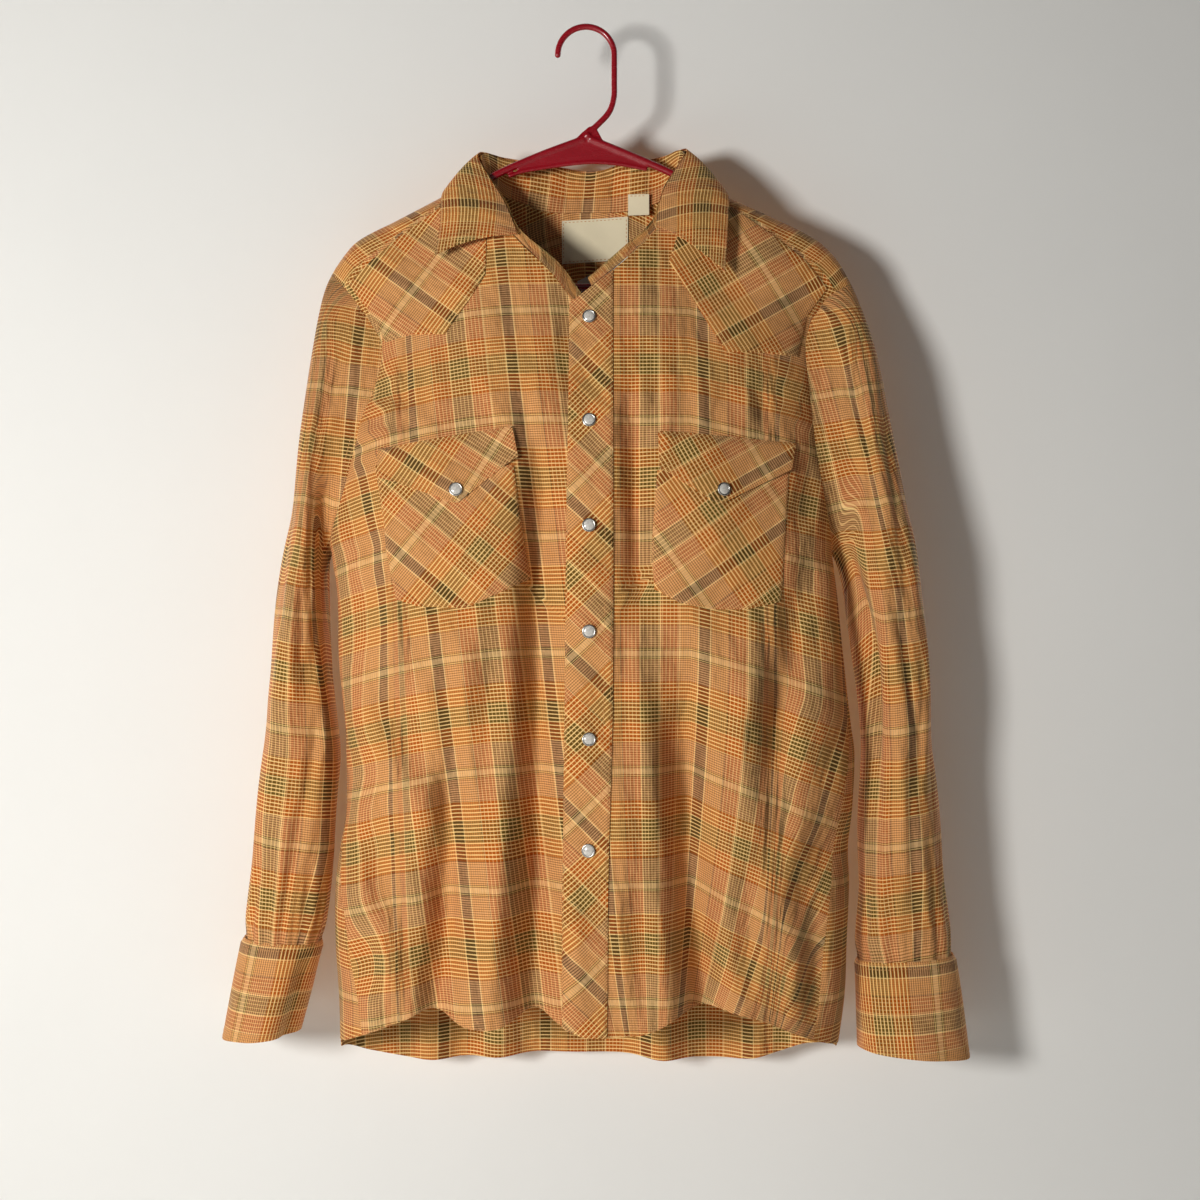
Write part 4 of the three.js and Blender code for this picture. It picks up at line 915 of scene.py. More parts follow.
def cloth_mesh(sheet, thickness, outward):
    """The sheet as a mesh: a grid primitive moved onto its points, closed where it is a tube, and given its wall."""
    points, cut = sheet.points, sheet.cut
    if sheet.closed:
        points = np.concatenate([points, points[:, :1]], 1)
    rows, columns = points.shape[:2]
    deselect()
    bpy.ops.mesh.primitive_grid_add(x_subdivisions=columns - 1, y_subdivisions=rows - 1, size=1)
    piece = bpy.context.object
    mesh = piece.data
    # The primitive's points run along x first, from its lowest row up
    mesh.vertices.foreach_set("co", (points[::-1] * MM).reshape(-1))
    corner = np.zeros(len(mesh.loops), np.int32)
    mesh.loops.foreach_get("vertex_index", corner)
    flat = (cut[::-1] * MM).reshape(-1, 2)
    layer = mesh.uv_layers[0]
    layer.name = "cut"
    layer.data.foreach_set("uv", flat[corner].reshape(-1))
    mesh.update()
    normals = np.zeros(len(mesh.polygons) * 3)
    mesh.polygons.foreach_get("normal", normals)
    centres = np.zeros(len(mesh.polygons) * 3)
    mesh.polygons.foreach_get("center", centres)
    facing = outward(centres.reshape(-1, 3) / MM)
    if np.sum(normals.reshape(-1, 3) * facing) < 0:
        edit(piece, (bpy.ops.mesh.flip_normals, {}))
    if sheet.closed:
        edit(piece, (bpy.ops.mesh.remove_doubles, {"threshold": 1e-6}))
    apply_modifier(
        piece, "SOLIDIFY", thickness=thickness * MM, offset=-1, use_even_offset=False, use_rim=True
    )
    return piece


def stitches(name, lines, pitch=3.4, length=2.4, width=0.55):
    """Short raised stitches along lines on the cloth, joined in one piece."""
    corners = np.array([(-0.5, 0, 0), (-0.22, 0.5, 0.3), (0.22, 0.5, 0.3), (0.5, 0, 0), (0.22, -0.5, 0.3),
                        (-0.22, -0.5, 0.3), (0, 0, 0.62), (0, 0, -0.5)])
    faces = [(0, 6, 1), (1, 6, 2), (2, 6, 3), (3, 6, 4), (4, 6, 5), (5, 6, 0),
             (0, 1, 7), (1, 2, 7), (2, 3, 7), (3, 4, 7), (4, 5, 7), (5, 0, 7)]
    vertices, polygons = [], []
    for line, facing in lines:
        if len(line) < 3:
            continue
        steps = np.concatenate([[0], np.cumsum(np.linalg.norm(np.diff(line, axis=0), axis=1))])
        at = np.arange(pitch / 2, steps[-1] - pitch / 2, pitch)
        for a in at:
            ends = [np.array([np.interp(a + d, steps, line[:, k]) for k in range(3)]) for d in (-0.5, 0.5)]
            up = unit(np.array([np.interp(a, steps, facing[:, k]) for k in range(3)]))
            run = unit(ends[1] - ends[0])
            side = np.cross(up, run)
            centre = (ends[0] + ends[1]) / 2
            body = centre + corners[:, :1] * length * run + corners[:, 1:2] * width * side + corners[:, 2:] * width * up
            start = len(vertices)
            vertices.extend((body * MM).tolist())
            polygons.extend([tuple(start + k for k in face[::-1]) for face in faces])
    mesh = bpy.data.meshes.new(name)
    mesh.from_pydata(vertices, [], polygons)
    mesh.update()
    piece = bpy.data.objects.new(name, mesh)
    bpy.context.scene.collection.objects.link(piece)
    edit(piece, (bpy.ops.mesh.normals_make_consistent, {"inside": False}))
    return finish_piece(piece, name, "thread")


def from_middle(centres):
    """Outward from the shirt's middle, for pieces in front of it or behind it."""
    return np.stack([centres[:, 0] * 0, centres[:, 1] + 12, centres[:, 2] * 0], -1)


def sew(name, sheet, *, outward=from_middle, thickness, flat, rests_on,
        seams=(), material="plaid", nodes=None):
    """Makes one sheet of cloth with its stitches, and declares it."""
    piece = cloth_mesh(sheet, thickness, outward)
    finish_piece(piece, name, material, [name[:-6]] if nodes is None else nodes)
    lines = [sheet.edge_line(edge, inset) for edge, inset in seams]
    if lines:
        stitches(name.replace("_cloth", "_stitches"), lines)
    flat[0] * MM
    flat[1] * MM
    return piece


def straight_cut(points, x_at, slant=0.0, drop=None, shift=(0, 0), level=-488.5):
    """Straight-grain cut of a body panel: across along the cloth from the line x_at, down with the height."""
    middle = np.argmin(np.abs(points[..., 0].mean(0) - x_at))
    x, z = points[..., 0], points[..., 2]
    # Folds take up cloth that the view from the front doesn't count; the turn round the sides does count
    flat = np.stack([x, points[..., 1] * smooth((np.abs(x) - 140) / 25)], -1)
    across = arc_across(flat, middle) + (x[:, middle : middle + 1] - x_at) - slant * (level - z)
    profile = points[:, middle, 1:]
    steps = np.linalg.norm(np.diff(profile, axis=0), axis=1)
    length = np.concatenate([[0], np.cumsum(steps)])
    length -= np.interp(WEFT_LEVEL, -profile[:, 1], length) - WEFT_LEVEL
    past = np.maximum(0, -z + profile[-1, 1]) - np.maximum(0, z - profile[0, 1])
    down = np.interp(-z, -profile[:, 1], length) + past - (0 if drop is None else drop(x, z))
    return np.stack([across + shift[0], down + shift[1]], -1)


def turned_cut(points, degrees, about, shift=(0, 0)):
    """Bias cut of a patch: its bands run down to the right by these degrees."""
    turn = math.radians(degrees)
    x, down = points[..., 0] - about[0], -(points[..., 2] - about[1])
    across = -x * math.sin(turn) + down * math.cos(turn)
    along_warp = x * math.cos(turn) + down * math.sin(turn)
    return np.stack([across + shift[0], along_warp + shift[1]], -1)

# ---------------------------------------------------------------- the shirt's pieces

WEFT_LEVEL = 527.4
LEFT_WARP, RIGHT_WARP = 128.2, -96.1
LEFT_SLANT = 0.117
FRONT_X = (-84.5, 110)


def left_drop(x, z):
    out = np.maximum(0, -65 - x)
    return 0.07 * out + 0.00095 * out * out


def right_drop(x, z):
    return (0.22 + 0.0009 * np.clip(-470 - z, 0, 280)) * np.maximum(0, x - 84.8)


def make_fronts(settings):
    """Both fronts, from the shoulder seams and the neckline to the curved hem."""
    left = body_panel(
        lambda z: -side_angle(z, "left"),
        lambda z: angle_at(placket_left(z) + UNDERLAP_WIDTH, z),
        front_top(NECKLINE_LEFT), front_hem, 121, 161,
    )
    tuck = smooth((left[..., 0] - placket_left(left[..., 2]) + UNDERLAP_EASE) / UNDERLAP_EASE)
    left[..., 1] += UNDERLAP_DEPTH * tuck
    right = body_panel(
        lambda z: angle_at(placket_left(z), z),
        lambda z: side_angle(z, "right"),
        front_top(NECKLINE_RIGHT), front_hem, 121, 161,
    )
    cuts = (
        straight_cut(left, FRONT_X[0], LEFT_SLANT, left_drop, (LEFT_WARP, -WEFT_LEVEL)),
        straight_cut(right, FRONT_X[1], 0.0, right_drop, (FRONT_X[1], -WEFT_LEVEL)),
    )
    # Low on the right front the folds draw the warp's stripes together
    low = np.maximum(0, -490 - right[..., 2]) ** 2
    cuts[1][..., 0] = (cuts[1][..., 0] - 0.000252 * low) / (1 - 0.0000045 * low) + RIGHT_WARP
    for name, points, cut in (("front_left", left, cuts[0]), ("front_right", right, cuts[1])):
        sew(
            name + "_cloth", Cloth(points, cut, (0, -1, 0)), thickness=settings.cloth,
            flat=(285, 720), rests_on=["hanger_arm_" + name[6:]],
            seams=[("bottom", 1.2), ("bottom", 6.5)],
        )


def make_back(settings):
    """The back below the yoke. Its side strips come round to the front below the waist."""
    def tuck(z):
        return np.where(z > UNDERARM_Z, np.pi - 2 * armhole_angle(z), 0)

    points = body_panel(
        lambda z: 2 * np.pi - side_angle(z, "left") - tuck(z),
        lambda z: side_angle(z, "right") + tuck(z),
        lambda x, angle: BACK_YOKE_HEM.read(x, "z"),
        lambda x, angle: np.where(np.cos(angle) > 0, front_hem(x), BACK_HEM.read(x, "z")),
        201, 131,
    )
    cut = straight_cut(points, 4, 0.0, None, (40, -WEFT_LEVEL))
    sew(
        "back_body_cloth", Cloth(points, cut, points * (0.2, 1, 0) + (0, 12, 0)),
        thickness=settings.cloth, flat=(620, 610), rests_on=["back_yoke_cloth"],
        seams=[("bottom", 1.2), ("bottom", 6.5), ("left", 2.0), ("right", 2.0)],
    )


def yoke_top_run(x):
    in_neck = 1 - (np.abs(x) / NECK_HALF_WIDTH) ** 2
    return np.where(in_neck > 0, BACK_NECK_RUN * np.maximum(in_neck, 0) ** 0.8, shoulder_seam_run(x))


def make_back_yoke(settings):
    """The back yoke, from the shoulder seams in front, over the ridge, to its pointed hem."""
    def armhole_x(run, hand):
        x = np.full(np.shape(run), hand * 205.0)
        for _ in range(60):
            side = "left" if hand < 0 else "right"
            x = mix(x, OUTLINE.read(ridge(x) - drop_of(run), side), 0.3)
        return x

    tips = [float(armhole_x(np.zeros(1), hand)[0]) for hand in (-1, 1)]
    wing = [mix(tip, hand * (NECK_HALF_WIDTH + 0.5), np.linspace(0, 1, 34)) for tip, hand in zip(tips, (-1, 1))]
    neck = (NECK_HALF_WIDTH - 0.5) * np.sin(np.linspace(-np.pi / 2, np.pi / 2, 61))
    places = np.concatenate([wing[0], neck, wing[1][::-1]])
    share = (places - tips[0]) / (tips[1] - tips[0])

    def place_of(run):
        return mix(armhole_x(run, -1), armhole_x(run, 1), share)

    def settle(line):
        run = line(places)
        for _ in range(40):
            run = mix(run, line(place_of(run)), 0.3)
        return run

    first = settle(yoke_top_run)
    last = settle(lambda x: run_of(ridge(x) - BACK_YOKE_HEM.read(x, "z")))
    over = np.maximum(first + 3, 0)
    knots = [first, over, over + 22, last]
    runs = [mix(a, b, np.arange(n)[:, None] / n) for a, b, n in zip(knots, knots[1:], (9, 12, 34))]
    run = np.concatenate([*runs, last[None]])
    points = shoulder_point(np.stack([place_of(row) for row in run]), run)
    cut = np.stack([arc_across(points, len(places) // 2), np.abs(run) + 9], -1)
    sew(
        "back_yoke_cloth", Cloth(points, cut, np.stack([run * 0, np.sin(np.clip(run / 12, -1.5, 1.5)), run * 0 + 1], -1)),
        thickness=settings.cloth, flat=(440, 230),
        rests_on=["hanger_arm_left", "hanger_arm_right"], seams=[("bottom", 1.5), ("bottom", 6)],
    )


def front_layer(name, x, z, cut, lift, settings, flat, seams=(), rests_on=None, curl=0.0, rim=0.6, layers=1.5):
    """A piece sewn on the fronts: it lies on the front's own surface, its edges turned under."""
    rows, columns = x.shape
    edge = np.ones((rows, columns))
    edge[0] = edge[-1] = rim
    edge[:, 0] = edge[:, -1] = rim
    points = front_point(x, z)
    sheet = Cloth(points, cut, (0, -1, 0), lift=lift * edge + curl)
    return sew(
        name + "_cloth", sheet, thickness=settings.cloth * layers, flat=flat,
        rests_on=rests_on or ["front_left_cloth" if x.mean() < -30 else "front_right_cloth"], seams=seams,
    )


def make_placket(settings):
    """The bias placket on the right front, from the neckline to the hem."""
    s = np.linspace(0, 1, 19)

    def height(line):
        z = line(mix(placket_left(-400.0), placket_right(-400.0), s))
        for _ in range(30):
            z = mix(z, line(mix(placket_left(z), placket_right(z), s)), 0.5)
        return z

    z = mix(height(lambda x: NECKLINE_RIGHT.read(x, "z")), height(front_hem), np.linspace(0, 1, 260)[:, None])
    x = mix(placket_left(z), placket_right(z), s)
    cut = turned_cut(np.stack([x, x * 0, z], -1), 45, (3, -424.5), (4.6, 30))
    front_layer(
        "front_placket", x, z, cut, settings.layer + 0.5, settings, (42, 640),
        seams=[("left", 2), ("right", 2), ("right", 8), ("bottom", 2)],
    )


def make_yokes_and_pockets(settings):
    """The front yokes, pockets and flaps, all cut on the bias."""
    yokes = (
        ("front_yoke_left", FRONT_YOKE_LEFT, 37, (-128, -222), (-12.8, 10)),
        ("front_yoke_right", FRONT_YOKE_RIGHT, -32, (130, -226), (-27, -25)),
    )
    for name, edges, turn, about, shift in yokes:
        x, z = patch_plan(edges, 55, 49)
        cut = turned_cut(np.stack([x, x * 0, z], -1), turn, about, shift)
        front_layer(name, x, z, cut, settings.layer, settings, (150, 150),
                    seams=[("bottom", 1.6), ("bottom", 5), ("left", 1.6), ("right", 3)])
    pockets = (
        ("pocket_left", POCKET_LEFT, 40, (-108, -430), (-39.8, 20)),
        ("pocket_right", POCKET_RIGHT, -35, (108, -430), (-25.6, 42)),
    )
    for name, edges, turn, about, shift in pockets:
        x, z = patch_plan(edges, 57, 53)
        cut = turned_cut(np.stack([x, x * 0, z], -1), turn, about, shift)
        u, v = np.linspace(0, 1, 57)[None], np.linspace(0, 1, 53)[:, None]
        bag = 1.6 * np.sin(np.pi * u) * np.sin(np.pi * np.clip(v * 0.9 + 0.05, 0, 1)) + 0.35 * np.sin(9 * u + 4 * v)
        front_layer(name, x, z, cut, settings.layer, settings, (115, 118),
                    seams=[("left", 1.8), ("right", 1.8), ("bottom", 1.8)], curl=bag)
    flaps = (("pocket_flap_left", FLAP_LEFT, 33, (-108, -430), (30, 8), 0), ("pocket_flap_right", FLAP_RIGHT, -30, (108, -430), (26, 38), 1))
    for name, edges, turn, about, shift, outer in flaps:
        x, z = patch_plan(edges, 61, 31)
        cut = turned_cut(np.stack([x, x * 0, z], -1), turn, about, shift)
        u, v = np.linspace(0, 1, 61)[None], np.linspace(0, 1, 31)[:, None]
        away = u if outer else 1 - u
        curl = 3.0 * bell((away - 1) / 0.22) * v**2 + 1.4 * bell((away - 0) / 0.12) * v**2
        curl = curl + 1.2 * v * np.sin(np.pi * u) ** 2 + 0.4 * np.sin(11 * u + 1.5) * v
        curl = curl - 1.4 * (1 - smooth(v / 0.12))
        front_layer(name, x, z, cut, settings.layer * 2, settings, (115, 60),
                    rests_on=["pocket_" + ("right" if outer else "left") + "_cloth"],
                    seams=[("left", 1.8), ("right", 1.8), ("bottom", 1.8), ("bottom", 6), ("top", 2)], curl=curl,
                    rim=0.95, layers=2.2)


# ---------------------------------------------------------------- sleeves, cuffs and collar


def ring_point(table, place, turn):
    """A sleeve's ring at a place in its table, turned from the outer point by way of the front."""
    row = {name: table.read(place, name) for name in RING.split()}
    out = (1 + np.cos(turn)) / 2
    deep = np.where(np.sin(turn) > 0, row["front"], row["back"])
    return np.stack([
        mix(row["inner_x"], row["outer_x"], out),
        deep * np.abs(np.sin(turn)) ** 0.9,
        mix(row["inner_z"], row["outer_z"], out),
    ], -1)


def armhole_point(hand, turn):
    tip = -212.0
    for _ in range(40):
        tip = mix(tip, ridge(OUTLINE.read(tip, "left" if hand < 0 else "right")), 0.3)
    z = mix(UNDERARM_Z, tip, (1 + np.cos(turn)) / 2)
    angle = np.where(np.sin(turn) >= 0, armhole_angle(z), np.pi - armhole_angle(z))
    return body_point(hand * angle, z)


def sleeve_press(folds, creases, place, degrees):
    total = 0
    for start, end, top, bottom, width, depth in (*folds, *creases):
        run = np.clip((place - start) / (end - start), 0, 1)
        swing = np.abs((degrees - mix(top, bottom, run) + 540) % 360 - 180)
        sharp = 0.45 * bell((swing - 1.9 * width) / (0.9 * width)) if width < 12 else 0
        total = total + depth * np.sin(np.pi * run) * (bell(swing / width) - sharp)
    return total


def ring_centres(points):
    return points.mean(1, keepdims=True)


def sleeve_sheet(table, folds, creases, hand, warp_shift, weft_shift):
    turns, rows = 112, 171
    place = np.linspace(0, 1, rows)[:, None] ** 0.95 * (len(table.data) - 1)
    turn = np.linspace(0, 2 * np.pi, turns, endpoint=False)[None]
    place, turn = np.broadcast_arrays(place, turn)
    hold = np.clip(1 - place / 2.2, 0, 1)[..., None] ** 2
    points = mix(ring_point(table, place, turn), armhole_point(hand, turn), hold)
    centre = (ring_point(table, place, turn * 0) + ring_point(table, place, turn * 0 + np.pi)) / 2
    plain = np.concatenate([points, points[:, :1]], 1)
    press = sleeve_press(folds, creases, place, np.degrees(turn))
    last = len(table.data) - 1
    pleats = smooth((place - 8.9) / 1.1) * 0.8 * (np.sin(turn * 17 + 1.3 * np.sin(turn * 3)) + 1)
    tucked = smooth((place - last + 0.16) / 0.14)
    pleats = pleats + 2.2 * tucked
    slow = ripple(turn * 60, points[..., 2], hand) * smooth(place / 1.5)
    points = points + unit(centre - points) * (press + pleats + slow)[..., None]
    axis = unit(np.array([table.data[-1, 1] - table.data[0, 1], 0, table.data[-1, 2] - table.data[0, 2]]))
    points = points + axis * (4.5 * tucked)[..., None]
    # The width on the flat cut runs round the ring from the sleeve's middle line in front. At the cap it is
    # counted sideways from that line, so that the warp stays parallel to it
    below = place[:, 0] > 1.6
    middles = centre[below, 0]
    halves = np.linalg.norm(ring_point(table, place, turn * 0) - ring_point(table, place, turn * 0 + np.pi), axis=-1)[below, 0] / 2
    line, half = np.polyfit(middles[:, 2], middles[:, 0], 2), np.polyfit(middles[:, 2], halves, 2)
    half_width = np.maximum(np.polyval(half, plain[..., 2]), 30)
    offset = hand * (plain[..., 0] - np.polyval(line, plain[..., 2]))
    swing = half_width * np.arcsin(np.clip(offset / half_width, -0.98, 0.98))
    behind = np.arange(turns + 1) > turns // 2
    sideways = np.where(behind, -np.pi * half_width - swing, swing)
    round_turn = np.linspace(0, 2 * np.pi, turns + 1)[None]
    round_ring = half_width * (np.pi / 2 - round_turn)
    cap = smooth(1.5 - place[:, :1] / 1.8) * smooth(np.abs(np.sin(round_turn)) * 1.5)
    across = -hand * mix(round_ring, sideways, cap) + warp_shift
    cut = np.stack([across, plain @ axis + weft_shift], -1)
    return Cloth(points, cut, points - ring_centres(points), closed=True)


def from_axis(top, bottom):
    """Outward from a line that leads down a sleeve."""
    (x0, z0), (x1, z1) = top, bottom

    def outward(centres):
        line = mix(x0, x1, (centres[:, 2] - z0) / (z1 - z0))
        return np.stack([centres[:, 0] - line, centres[:, 1], centres[:, 2] * 0], -1)

    return outward


def make_sleeves(settings):
    """Both sleeves, closed tubes from the armhole to the cuff."""
    left = sleeve_sheet(SLEEVE_LEFT, SLEEVE_FOLDS_LEFT, SLEEVE_CREASES_LEFT, -1, 30, -333.1)
    right = sleeve_sheet(SLEEVE_RIGHT, SLEEVE_FOLDS_RIGHT, SLEEVE_CREASES_RIGHT, 1, 9, -340)
    axes = (((-215, -327), (-256, -769)), ((216, -330), (270, -784)))
    for hand, sheet, axis in zip(("left", "right"), (left, right), axes):
        sew(
            f"sleeve_{hand}_cloth", sheet, outward=from_axis(*axis), thickness=settings.cloth,
            flat=(250, 580), rests_on=[f"front_{hand}_cloth"],
            seams=[("top", 2), ("top", 6)],
        )


CUFF_FOLD = {"left": 9, "right": 0}


def make_cuffs(settings):
    """Both cuffs, cut across the grain, with their opening edges behind."""
    turns, rows = 112, 41
    for hand, table in (("left", CUFF_LEFT), ("right", CUFF_RIGHT)):
        place = np.linspace(0, 1, rows)[:, None] * (len(table.data) - 1)
        turn = np.linspace(0, 2 * np.pi, turns, endpoint=False)[None]
        place, turn = np.broadcast_arrays(place, turn)
        points = ring_point(table, place, turn)
        middle = ring_centres(points)
        wave = 0.9 * np.sin(turn * 3 + place) + 0.5 * np.sin(turn * 7 + 2 * place) * place / 2
        lap = 1.6 * smooth((np.degrees(turn) - 268) / 3) * (1 - smooth((np.degrees(turn) - 300) / 12))
        turned_in = 2.1 * (1 - smooth(np.arange(rows)[:, None] / 2.5))
        turned_in = turned_in + CUFF_FOLD[hand] * bell((np.degrees(turn) - 146) / 24) * smooth(place / 1.2 + 0.3)
        points = points + unit(points - middle) * (wave + lap - turned_in)[..., None]
        looped = np.concatenate([points, points[:, :1]], 1)
        steps = np.linalg.norm(np.diff(looped, axis=0), axis=-1)
        down = np.concatenate([np.zeros((1, turns + 1)), np.cumsum(steps, 0)])
        cut = np.stack([down - 8, arc_across(looped, turns // 4) + 20], -1)
        top, bottom = points[0].mean(0), points[-1].mean(0)
        sew(
            f"cuff_{hand}_cloth", Cloth(points, cut, points - middle, closed=True),
            outward=from_axis((top[0], top[2]), (bottom[0], bottom[2])), thickness=settings.cloth * 1.6,
            flat=(225, 92), rests_on=[f"sleeve_{hand}_cloth"],
            seams=[("top", 2), ("top", 6), ("bottom", 2), ("bottom", 6)],
        )


def make_collar(settings):
    """The stand round the neck, and the fall that turns over it with its pointed leaves."""
    rows = COLLAR_SEAM.data
    seam = []
    for _, x, z, side, *_rest in rows:
        if side > 0:
            point = shoulder_point(x, yoke_top_run(x))
        else:
            point = front_point(x, z)
            if x < 0:
                point = point + (0, UNDERLAP_DEPTH * float(smooth((x - placket_left(z) + UNDERLAP_EASE) / UNDERLAP_EASE)), 0)
        inward = unit(np.array([-x, -float(point[1]) - 10, 0.0])) * (1.2 if side > 0 else 0)
        seam.append(point + inward + (0, 0, STAND_SEAM_RISE - (5 if side > 0 else 1)))
    seams = numbered("x y z", *seam)
    place = np.linspace(0, 1, 221) * (len(rows) - 1)
    low = np.stack([seams.read(place, name) for name in "xyz"], -1)
    high = np.stack([COLLAR_SEAM.read(place, "roll_" + name) for name in "xyz"], -1)
    v = np.linspace(0, 1, 17)[:, None, None]
    points = mix(low[None], high[None], v)
    behind = smooth((low[:, 1] - 2) / 10)
    wave = 1.3 * np.sin(place * 5.1) * behind + 0.5 * np.sin(place * 11)
    points[..., 1] += (wave * np.sin(np.pi * v[..., 0]))
    points[..., 2] += v[..., 0] * 1.2 * np.sin(place * 3.3 + 1) * behind
    outward = points * (1, 1, 0) + (0, 8, 0)
    cut = np.stack([arc_across(points, 110), v[..., 0] * 34 + points[..., 0] * 0 + 12], -1)
    sew(
        "collar_stand_cloth", Cloth(points, cut, outward), thickness=settings.cloth * 1.5,
        outward=lambda c: c * (1, 1, 0) + (0, 8, 0), flat=(410, 30), rests_on=["back_yoke_cloth"],
        seams=[("bottom", 2)],
    )
    place = np.linspace(0, 1, 201) * (len(COLLAR_FALL.data) - 1)
    roll = np.stack([COLLAR_FALL.read(place, "roll_" + name) for name in "xyz"], -1)
    edge = np.stack([COLLAR_FALL.read(place, "edge_" + name) for name in "xyz"], -1)
    swell = COLLAR_FALL.read(place, "swell")
    outwards = unit(edge * (1, 1, 0))
    swell = swell * 0.42
    middle = mix(roll, edge, 0.45) + outwards * (swell * 0.5)[:, None]
    middle[:, 1] -= swell * np.where(edge[:, 1] < 0, 0.9, -0.5)
    middle[:, 2] += swell * 0.9
    v = np.linspace(0, 1, 45)[:, None, None]
    points = roll * (1 - v) ** 2 + middle * 2 * v * (1 - v) + edge * v**2
    steps = np.linalg.norm(np.diff(points, axis=0), axis=-1)
    down = np.concatenate([np.zeros((1, len(place))), np.cumsum(steps, 0)])
    from_edge = down[-1] - down
    cut = np.stack([arc_across(points, 100), from_edge + 21], -1)
    facing = points * (1, 2, 0) + (0, 0, 60)
    wave = 0.5 * np.sin(place * 4.1 + 3 * v[..., 0]) * v[..., 0]
    sew(
        "collar_fall_cloth", Cloth(points, cut, facing, lift=wave), thickness=settings.cloth * 1.8,
        outward=lambda c: c * (1, 2, 0) + (0, 0, 60), flat=(460, 80), rests_on=["collar_stand_cloth"],
        seams=[("bottom", 2), ("bottom", 7), ("left", 2), ("left", 7), ("right", 2), ("right", 7)],
    )

# ---------------------------------------------------------------- labels, snaps and the hanger


def inner_sheet(left, right, top, bottom, depth, columns, rows, wave, tilt=0.0):
    """A tape inside the back of the neck, on the yoke's inner face."""
    u, v = np.meshgrid(np.linspace(0, 1, columns), np.linspace(0, 1, rows))
    x, z = mix(left, right, u), mix(top, bottom, v) + tilt * u
    points = body_point(angle_at(x, z, 1), z)
    points[..., 1] -= depth + wave * (np.sin(5 * u + 2 * v) + 0.6 * np.sin(9 * u - 3 * v))
    cut = np.stack([x - left, z - z.min()], -1)
    return Cloth(points, cut, (0, -1, 0))


def make_labels(settings):
    """The three blank tapes inside the neck."""
    def face(c):
        return c * 0 + (0, -1, 0)

    sew("neck_label_cloth", inner_sheet(-21, 36, -157, -193, 2.2, 37, 25, 0.25, 3.0), outward=face, thickness=0.8,
        flat=(57, 36), rests_on=["back_yoke_cloth"], seams=[("top", 1.6), ("bottom", 1.6), ("left", 1.4), ("right", 1.4)],
        material="tape")
    u, v = np.meshgrid(np.linspace(0, 1, 41), np.linspace(0, 1, 7))
    x, z = mix(-8, 42, u) + 3.6 * v, mix(-208, -186, u) - 9.4 * v
    points = body_point(angle_at(x, z, 1), z)
    points[..., 1] -= 4.0 + 0.5 * np.sin(4 * u) + 0.3 * v
    sew("care_strip_cloth", Cloth(points, np.stack([u * 55, v * 10], -1), (0, -1, 0)), outward=face, thickness=0.7,
        flat=(55, 10.2), rests_on=["neck_label_cloth"], material="strip")
    u, v = np.meshgrid(np.linspace(0, 1, 15), np.linspace(0, 1, 15))
    points = np.stack([mix(36, 54, u), 16.5 - 2.2 * u + 0.7 * np.sin(3 * v + u), mix(-136, -154, v)], -1)
    sew("size_tag_cloth", Cloth(points, np.stack([u * 18, v * 18], -1), (0, -1, 0)), outward=face, thickness=0.8,
        flat=(18, 18), rests_on=["back_yoke_cloth"], seams=[("top", 1.4)], material="tape")


def snap_pattern(settings):
    """One snap about the origin, facing up: a pearl cap in a rolled ring on a low collar."""
    radius = settings.snap / 2
    deselect()
    bpy.ops.mesh.primitive_cylinder_add(vertices=40, radius=radius * 0.9 * MM, depth=1.0 * MM, location=(0, 0, 0.5 * MM))
    parts = [bpy.context.object]
    deselect()
    bpy.ops.mesh.primitive_torus_add(
        major_segments=40, minor_segments=12, major_radius=radius * 0.86 * MM, minor_radius=radius * 0.15 * MM,
        location=(0, 0, 1.25 * MM),
    )
    parts.append(bpy.context.object)
    for part in parts:
        part.data.materials.append(finish_of("ring"))
    deselect()
    bpy.ops.mesh.primitive_uv_sphere_add(segments=36, ring_count=18, radius=radius * 0.8 * MM)
    cap = bpy.context.object
    edit(cap, (bpy.ops.transform.resize, {"value": (1, 1, 0.3)}), (bpy.ops.transform.translate, {"value": (0, 0, 1.3 * MM)}))
    cap.data.materials.append(finish_of("pearl"))
    for part in (*parts, cap):
        part.select_set(True)
    bpy.context.view_layer.objects.active = parts[0]
    bpy.ops.object.transform_apply(location=True, rotation=True, scale=True)
    bpy.ops.object.join()
    pattern = bpy.context.object
    only(pattern)
    bpy.ops.object.shade_smooth_by_angle(angle=math.radians(40))
    return pattern


